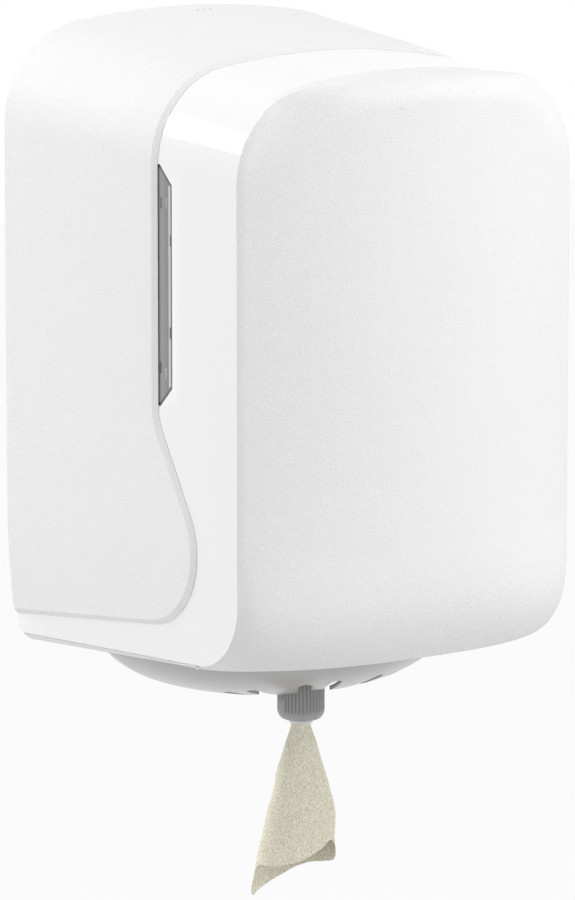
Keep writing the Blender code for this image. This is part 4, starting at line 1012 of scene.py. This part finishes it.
def buildSlottedBowl():
    tree, given, end = geometryGroup("slottedBowl", bowl)
    rings, middle, hole = given["Rings"], given["Middle"], given["Hole Radius"]
    rows = rings * 2.0
    last = rings - 1.0
    grid, angle, row = roundGrid(tree, given["Around"], rows)
    inside = row > rings - 0.5
    way = pick(inside, (rows - 1.0 - row) / last, row / last)
    share = calc("SINE", way * (math.pi / 2))
    inset = given["Wall"] * inside
    sine = calc("SINE", angle)
    cosine = calc("COSINE", angle)

    def reachWhere(test):
        return pick(test, given["Front Reach"], given["Rear Reach"]) - inset

    wide = given["Half Width"] - inset
    x = blend(hole * cosine, wide * cosine, share)
    depth = blend(given["Feed Depth"] + hole * sine, middle + reachWhere(sine > 0.0) * sine, share)
    past = depth - middle
    outward = calc("MINIMUM", calc("SQRT", (x / wide) ** 2.0
                                   + (past / reachWhere(past > 0.0)) ** 2.0), 1.0)
    rounded = (calc("MAXIMUM", 1.0 - outward ** given["Dome Power"], 0.0)
               ** (1.0 / given["Round Power"]))
    height = blend(given["Bottom"] + inset, given["Top"], 1.0 - rounded)
    height = pick(way > given["Rim Share"], given["Top"], height)
    skin = wire(tree, "GeometryNodeFlipFaces", {
        "Mesh": shapedGrid(tree, grid, x, depth * -1.0, height)})
    circle = wire(tree, "GeometryNodeMeshCircle", {"Vertices": given["Slot Pairs"], "Radius": 0.001})
    points = wire(tree, "GeometryNodeSetPosition", {"Geometry": circle, "Position": (0.0, 0.0, 0.0)})
    turn = (wire(tree, "GeometryNodeInputIndex") + 0.5) * (math.tau / given["Slot Pairs"])
    copies = wire(tree, "GeometryNodeInstanceOnPoints", {
        "Points": points, "Instance": buildBowlCutter(tree, given),
        "Rotation": vector(tree, Z=turn + -math.pi / 2)})
    place = vector(tree, Y=given["Feed Depth"] * -1.0, Z=given["Bottom"])
    cutters = wire(tree, "GeometryNodeRealizeInstances", {
        "Geometry": moved(tree, copies, Translation=place)})
    return endTree(tree, given, end, combined(tree, "DIFFERENCE", {"Mesh 1": skin,
                                                                   "Mesh 2": cutters}))


def makeFeedBowl():
    made = newObject("feedBowl", bmesh.new(), closed=False)
    runTree(made, buildSlottedBowl(), bowlPlastic, bowl)
    soften(made, bowl["edge"], angle=50)
    settle(made, sharp=45)
    dress(made, bowlPlastic, "wall_unit", "feed_bowl")


# Ribbed collar and its insert

collar = {"radius": 0.01325, "top": -0.188, "shoulder": -0.2118, "bottom": -0.2176,
          "floor": -0.2105, "mouth": 0.0088, "inner": 0.0098, "insertBore": 0.0069,
          "lead": 0.0004, "edge": 0.0006, "rows": 14, "roundSteps": 8,
          "Sides": 480, "Flutes": 40.0, "Flute Depth": 0.0009, "Flute Low": -0.2128,
          "Flute High": -0.1884, "Flute Fade": 0.0006, "Flute Radius": 0.0118,
          "Pad Start": math.radians(163), "Pad End": math.radians(191), "Pad Top": -0.2055}
insert = {"bore": 0.0055, "neck": 0.0066, "flange": 0.0088, "bottom": -0.2198,
          "flangeHeight": 0.0016, "edge": 0.0003}


def makeNozzle():
    radius, inner, bore = collar["radius"], collar["inner"], collar["insertBore"]
    top, shoulder, bottom = collar["top"], collar["shoulder"], collar["bottom"]
    floor, lead, edge, steps = collar["floor"], collar["lead"], collar["edge"], collar["roundSteps"]
    profile = [(inner, top - lead), (inner + lead, top), (radius - edge, top)]
    profile += [(radius, z) for z in even(top - edge, shoulder, collar["rows"])]
    for k in range(1, steps + 1):
        angle = math.pi / 2 * k / steps
        profile.append((blend(collar["mouth"], radius, math.cos(angle)),
                        blend(shoulder, bottom, math.sin(angle))))
    profile += [(bore, bottom), (bore, floor), (inner, floor)]
    ribbed = turnedPiece("nozzleCollar", profile, collarPlastic, collar, sharp=60)
    dress(ribbed, collarPlastic, "nozzle", "nozzle_collar")
    low = floor + body["fitGap"]
    high = low + insert["flangeHeight"]
    corners = [(insert["bore"], insert["bottom"]), (insert["neck"], insert["bottom"]),
               (insert["neck"], low), (insert["flange"], low), (insert["flange"], high),
               (insert["bore"], high)]
    ring = turnedPiece("nozzleInsert", roundedProfile(corners, insert["edge"]), palePlastic, insert)
    dress(ring, palePlastic, "nozzle", "nozzle_insert")


# Screws in one mesh, each made from its seat, its way and the length of its shank

screwSizes = {"Head Radius": 0.0034, "Head Height": 0.0018, "Shank Radius": 0.0016,
              "Recess": 0.0042, "Recess Width": 0.0008, "Top Share": 0.82, "Slope Share": 0.35,
              "Recess Lift": -1.1}
screwWays = {f"bowl_screw_{k}": (0, 0, -1) for k in range(1, 5)}
screwWays.update({f"funnel_screw_{k}": (0, 0, 1) for k in range(1, 4)})
screwWays.update({f"tray_screw_{side}": (0, 1, 0) for side in ("left", "right")})


def buildCrossScrews():
    tree, given, end = geometryGroup("crossScrews", screwSizes)
    radius, high, slope = given["Head Radius"], given["Head Height"], given["Slope Share"]

    def lift(geometry, z):
        return moved(tree, geometry, Translation=vector(tree, Z=z))

    def placed(instance, **more):
        return wire(tree, "GeometryNodeInstanceOnPoints", {
            "Points": given["Geometry"], "Instance": instance, "Rotation": turn, **more})

    flat = wire(tree, "GeometryNodeMeshCone", {
        "Vertices": 40, "Side Segments": 1, "Fill Segments": 1, "Radius Top": radius,
        "Radius Bottom": radius * given["Top Share"], "Depth": high * slope})
    rest = high * (1.0 - slope)
    round40 = wire(tree, "GeometryNodeMeshCylinder", {"Vertices": 40, "Radius": radius,
                                                      "Depth": rest})
    head = combined(tree, "UNION", {"Mesh 2": [lift(flat, high * -1.0),
                                               lift(round40, rest * -0.5)]})
    bars = [lift(cube(tree, given[x], given[y], high), high * given["Recess Lift"])
            for x, y in (("Recess", "Recess Width"), ("Recess Width", "Recess"))]
    crossed = combined(tree, "DIFFERENCE", {"Mesh 1": head, "Mesh 2": bars})
    length = wire(tree, "GeometryNodeInputNamedAttribute", {"Name": "shank"}, data_type="FLOAT")
    way = wire(tree, "GeometryNodeInputNamedAttribute", {"Name": "way"},
               data_type="FLOAT_VECTOR")
    turn = wire(tree, "FunctionNodeAlignRotationToVector", {"Vector": way}, axis="Z")
    shank = wire(tree, "GeometryNodeMeshCylinder", {
        "Vertices": 24, "Radius": given["Shank Radius"], "Depth": 1.0})
    heads = placed(crossed)
    shanks = placed(lift(shank, 0.5), Scale=vector(tree, X=1.0, Y=1.0, Z=length))
    return endTree(tree, given, end, wire(tree, "GeometryNodeJoinGeometry", {
        "Geometry": [heads, shanks]}))


def makeScrews():
    bm = bmesh.new()
    shanks = []
    for name, way in screwWays.items():
        low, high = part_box(name)
        length = (high - low).dot(Vector(map(abs, way)))
        shanks.append(length - screwSizes["Head Height"])
        bm.verts.new((low + high) / 2 + Vector(way) * (length / 2 - shanks[-1]))
    made = newObject("crossScrews", bm, closed=False)
    made.data.attributes.new("way", "FLOAT_VECTOR", "POINT")
    made.data.attributes.new("shank", "FLOAT", "POINT")
    for k, way in enumerate(screwWays.values()):
        made.data.attributes["way"].data[k].vector = way
        made.data.attributes["shank"].data[k].value = shanks[k]
    runTree(made, buildCrossScrews(), steel, screwSizes, sharp=35)
    dress(made, steel, "wall_unit", *screwWays)


# Wound roll

roll = {"Core Radius": 0.0302, "Outer Radius": 0.0922, "Layers": 34.0, "Bottom": -0.1517,
        "Top": 0.040, "Ridge": 0.00055, "Feed Depth": body["feedDepth"],
        "sides": 128, "rows": 24, "edge": 0.0002, "wave": 0.0003}


def buildWoundRoll():
    tree, given, end = geometryGroup("woundRoll", roll)
    joined = [given["Geometry"]]
    for label, way in (("Top", -1.0), ("Bottom", 1.0)):
        spiral = wire(tree, "GeometryNodeCurveSpiral", {
            "Resolution": 64, "Rotations": given["Layers"], "Start Radius": given["Core Radius"],
            "End Radius": given["Outer Radius"], "Height": 0.0})
        ridge = wire(tree, "GeometryNodeCurvePrimitiveCircle", {"Resolution": 6,
                                                                "Radius": given["Ridge"]})
        winding = wire(tree, "GeometryNodeCurveToMesh", {
            "Curve": spiral, "Profile Curve": ridge, "Fill Caps": True})
        joined.append(moved(tree, winding, Translation=vector(
            tree, Y=given["Feed Depth"] * -1.0, Z=given[label] + given["Ridge"] * way)))
    return endTree(tree, given, end, wire(tree, "GeometryNodeJoinGeometry", {
        "Geometry": joined}))


def makePaperRoll():
    radius = roll["Outer Radius"]
    low = roll["Bottom"] + roll["Ridge"]
    high = roll["Top"] - roll["Ridge"]
    corners = [(radius - roll["wave"] * (k % 2), z)
               for k, z in enumerate(even(low, high, roll["rows"]))][1:-1]
    ends = [[(roll["Core Radius"], z), (radius - roll["edge"], z)] for z in (low, high)]
    made = turnedPiece("paperRoll", ends[0] + corners + ends[1][::-1], rollPaper,
                       {"Sides": roll["sides"]}, sharp=60)
    runTree(made, buildWoundRoll(), rollPaper, roll, sharp=60)
    dress(made, rollPaper, "wall_unit", "paper_roll")


# Paper tail: one sheet that comes through the nozzle as a strand and opens into a cone

tail = {"strandRadius": 0.0045, "strandTop": -0.130, "top": -0.2198, "length": 0.1006,
        "turn": math.radians(-36.6), "depthShare": 0.5, "thickness": 0.0004,
        "fold": 0.0011, "folds": 3, "crumple": 0.0005, "crumpleGrowth": 4, "crumpleDown": 5,
        "crumpleScale": 1.7, "pleats": 9, "pleat": 0.0004, "pleatTwist": 200,
        "around": 128, "down": 64, "strandSteps": 20,
        "heights": (0.0, 0.12, 0.25, 0.38, 0.52, 0.66, 0.80, 1.0),
        "halfWidths": (0.0052, 0.0089, 0.0127, 0.0161, 0.0193, 0.0207, 0.0232, 0.0262),
        "shifts": (0.0, 0.0, -0.0003, 0.0, -0.0006, -0.0024, -0.0030, -0.0036),
        "hem": (0.71, 0.66, 0.70, 0.742, 0.775, 0.793, 0.798, 0.812,
                0.93, 0.995, 0.96, 0.908, 0.85, 0.818, 0.808, 0.79)}


def tailHem(angle):
    count = len(tail["hem"])
    place = angle / math.tau * count
    values = [tail["hem"][(int(place) + step) % count] for step in (-1, 0, 1, 2)]
    return curveThrough(*values, place - int(place))


def tailPoint(across, toward, z):
    sideways = Vector((math.cos(tail["turn"]), math.sin(tail["turn"]), 0))
    facing = Vector((math.sin(tail["turn"]), -math.cos(tail["turn"]), 0))
    return sideways * across + facing * toward + spot(0, body["feedDepth"], z)


def conePoint(angle, share, inward):
    down = share * tailHem(angle)
    width = smoothBetween(tail["halfWidths"], tail["heights"], down)
    shift = smoothBetween(tail["shifts"], tail["heights"], down)
    place = Vector((math.cos(angle), math.sin(angle), down * tail["crumpleDown"]))
    rumple = noise.noise(place * tail["crumpleScale"])
    fold = tail["fold"] * down * math.cos(angle * tail["folds"])
    fold += tail["crumple"] * min(down * tail["crumpleGrowth"], 1.0) * rumple - inward
    toward = blend(width, width * tail["depthShare"], min(2 * down, 1.0)) + fold
    return tailPoint((width + fold) * math.cos(angle) + shift, toward * math.sin(angle),
                     tail["top"] - down * tail["length"])


def strandPoint(angle, share, inward):
    z = blend(tail["strandTop"], tail["top"], share)
    wave = 1 - math.cos(angle * tail["pleats"] + z * tail["pleatTwist"])
    radius = tail["strandRadius"] - inward - tail["pleat"] * wave / 2
    return tailPoint(radius * math.cos(angle), radius * math.sin(angle), z)


def makePaperTail():
    angles = [math.tau * k / tail["around"] for k in range(tail["around"])]
    shares = [(strandPoint, share) for share in even(0, 1, tail["strandSteps"])[:-1]]
    shares += [(conePoint, share) for share in even(0, 1, tail["down"])[1:]]
    skins = [[[place(angle, share, inward) for angle in angles] for place, share in shares]
             for inward in (0.0, tail["thickness"])]
    made = newObject("paperTail", loopTube(skins[0] + skins[1][::-1], closeEnds=False))
    settle(made, sharp=80)
    dress(made, tailPaper, "paper", "paper_tail")


# Clips in the outer face of the window panes

clips = {"height": 0.0062, "width": 0.0014, "sink": 0.00064, "out": 0.0010, "edge": 0.0002,
         "dark": ((0.135, 0.0818), (0.1431, 0.062), (0.1427, 0.0124), (0.1342, -0.007)),
         "light": ((0.1396, 0.082), (0.1387, -0.010))}


def makeClips(name, side, places, material):
    bm = bmesh.new()
    for depth, z in places:
        corners = []
        for offset in (-clips["sink"], -clips["sink"] - clips["out"]):
            for up, forward in ((-1, -1), (-1, 1), (1, 1), (1, -1)):
                d = depth + forward * clips["width"] / 2
                high = z + up * clips["height"] / 2
                corners.append(bm.verts.new(spot(side * sideX(d, high, offset), d, high)))
        for quad in ((0, 1, 2, 3), (7, 6, 5, 4), (0, 4, 5, 1), (1, 5, 6, 2), (2, 6, 7, 3),
                     (3, 7, 4, 0)):
            bm.faces.new([corners[k] for k in quad])
    made = newObject(name, bm)
    soften(made, clips["edge"], angle=30)
    settle(made, sharp=30)
    finish(made, material)
    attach(made, "cover")


def makeAllClips():
    for sideName, sideSign in (("Left", -1), ("Right", 1)):
        makeClips("paneClips" + sideName, sideSign, clips["dark"], clipPlastic)
        makeClips("panePins" + sideName, sideSign, clips["light"], collarPlastic)


# Springs of the latch

springs = {"wire": 0.00026, "turns": 5, "stepsPerTurn": 24, "wireSides": 10, "travel": 0.004}


def makeSpring(name, node):
    low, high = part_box(node)
    middle = (low + high) / 2
    thick = springs["wire"]
    radius = (high.x - low.x) / 2 - thick
    steps = springs["stepsPerTurn"] * springs["turns"]
    loops = []
    for k in range(steps + 1):
        angle = math.tau * springs["turns"] * k / steps
        z = blend(low.z + thick, high.z - thick, k / steps)
        loop = []
        for m in range(springs["wireSides"]):
            turn = math.tau * m / springs["wireSides"]
            r = radius + thick * math.cos(turn)
            loop.append(Vector((middle.x + r * math.cos(angle), middle.y - r * math.sin(angle),
                                z + thick * math.sin(turn))))
        loops.append(loop)
    made = newObject(name, loopTube(loops))
    settle(made, sharp=60)
    dress(made, steel, "cover", node)
    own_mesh(made)


def makeSprings():
    makeSpring("latchSpringLeft", "latch_spring_left")
    makeSpring("latchSpringRight", "latch_spring_right")


# Finishes for the solids that stay

kept = {
    "wall_plate": plainWhite, "roll_tray": plainWhite, "feed_funnel": palePlastic,
    "latch_strike": plainWhite, "lock_case": plainWhite, "latch_slider": plainWhite,
    "hinge_pin_left": steel, "hinge_pin_right": steel, "window_left": smokePane,
    "window_right": smokePane,
}


def finishKept():
    for name, material in kept.items():
        finish(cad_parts[name], material)


# Stage, light and camera

stage = {"floor": -1.15, "reach": 9.0, "floorWhite": 0.94, "floorTone": 0.73,
         "floorRoughness": 0.9, "ambient": 0.368}


def seenShare(tree):
    rays = addNode(tree, "ShaderNodeLightPath").outputs
    camera, glossy, through = [Wire(rays[f"Is {kind} Ray"])
                               for kind in ("Camera", "Glossy", "Transmission")]
    return calc("MAXIMUM", calc("MAXIMUM", camera, glossy), through)


def makeStage():
    bm = bmesh.new()
    reach = stage["reach"]
    bm.faces.new([bm.verts.new((x * reach, y * reach, stage["floor"]))
                  for x, y in ((-1, -1), (1, -1), (1, 1), (-1, 1))])
    floor = newObject("floor", bm, closed=False)
    paleFloor = bpy.data.materials.new("paleFloor")
    paleFloor.use_nodes = True
    tree = paleFloor.node_tree
    shader = tree.nodes["Principled BSDF"]
    feed(shader, {"Base Color": tone(stage["floorTone"]), "Roughness": stage["floorRoughness"]})
    glow = wire(tree, "ShaderNodeEmission", {"Color": tone(1.0), "Strength": 1.0})
    feed(tree.nodes["Material Output"], {"Surface": wire(tree, "ShaderNodeMixShader", {
        0: seenShare(tree) * stage["floorWhite"], 1: Wire(shader.outputs["BSDF"]), 2: glow})})
    floor.data.materials.append(paleFloor)
    world = bpy.data.worlds.new("studio")
    bpy.context.scene.world = world
    world.use_nodes = True
    sky = world.node_tree
    white = sky.nodes["Background"]
    feed(white, {"Color": tone(1.0), "Strength": 1.0})
    dim = wire(sky, "ShaderNodeBackground", {"Color": tone(1.0), "Strength": stage["ambient"]})
    feed(sky.nodes["World Output"], {"Surface": wire(sky, "ShaderNodeMixShader", {
        0: seenShare(sky), 1: dim, 2: Wire(white.outputs["Background"])})})


lampAim = (0.0, -0.1, 0.0)
lamps = {
    "frontSoftbox": {"at": (1.3, -2.4, 0.7), "size": (1.4, 1.6), "power": 37.6},
    "leftSoftbox": {"at": (-2.6, 0.2, 0.1), "size": (1.4, 1.8), "power": 22.4},
    "cornerStrip": {"at": (-1.2, 1.75, 1.2), "size": (1.3, 0.6), "power": 36.9},
    "overheadSoftbox": {"at": (-0.1, -0.2, 2.5), "size": (1.8, 1.8), "power": 4.0},
    "topSoftbox": {"at": (0.3, -1.6, 2.2), "size": (1.4, 1.2), "power": 26.6},
}


def aimed(obj, at, way):
    obj.location = at
    obj.rotation_euler = way.to_track_quat("-Z", "Y").to_euler()


def makeLamps():
    for name, lamp in lamps.items():
        data = bpy.data.lights.new(name, "AREA")
        data.shape = "RECTANGLE"
        data.size, data.size_y = lamp["size"]
        data.energy = lamp["power"]
        aimed(linked(name, data), lamp["at"], Vector(lampAim) - Vector(lamp["at"]))


photoView = {"azimuth": math.radians(-36.586), "elevation": math.radians(8.861),
             "at": (-1.7299, -2.4252, 0.3851), "focalPixels": 5276.45, "tallPixels": 900,
             "sensor": 36.0, "near": 0.05, "far": 60.0}


def makeCamera():
    data = bpy.data.cameras.new("photoCamera")
    data.sensor_fit = "VERTICAL"
    data.sensor_height = photoView["sensor"]
    data.sensor_width = photoView["sensor"]
    data.lens = photoView["focalPixels"] / photoView["tallPixels"] * photoView["sensor"]
    data.clip_start = photoView["near"]
    data.clip_end = photoView["far"]
    side = photoView["azimuth"]
    lift = photoView["elevation"]
    camera = linked("photoCamera", data)
    aimed(camera, photoView["at"], Vector((-math.sin(side) * math.cos(lift),
                                           math.cos(side) * math.cos(lift), -math.sin(lift))))
    bpy.context.scene.camera = camera
    bpy.context.scene.view_settings.view_transform = "Standard"


for stageName, make in (
        ("cover shell", makeCoverShell), ("rear hood", makeRearHood),
        ("front panel", makeFrontPanel), ("bowl", makeFeedBowl), ("nozzle", makeNozzle),
        ("screws", makeScrews), ("roll", makePaperRoll), ("paper tail", makePaperTail),
        ("clips", makeAllClips), ("springs", makeSprings), ("finishes", finishKept),
        ("stage", makeStage), ("lamps", makeLamps), ("camera", makeCamera)):
    make()
    print(stageName, "made")
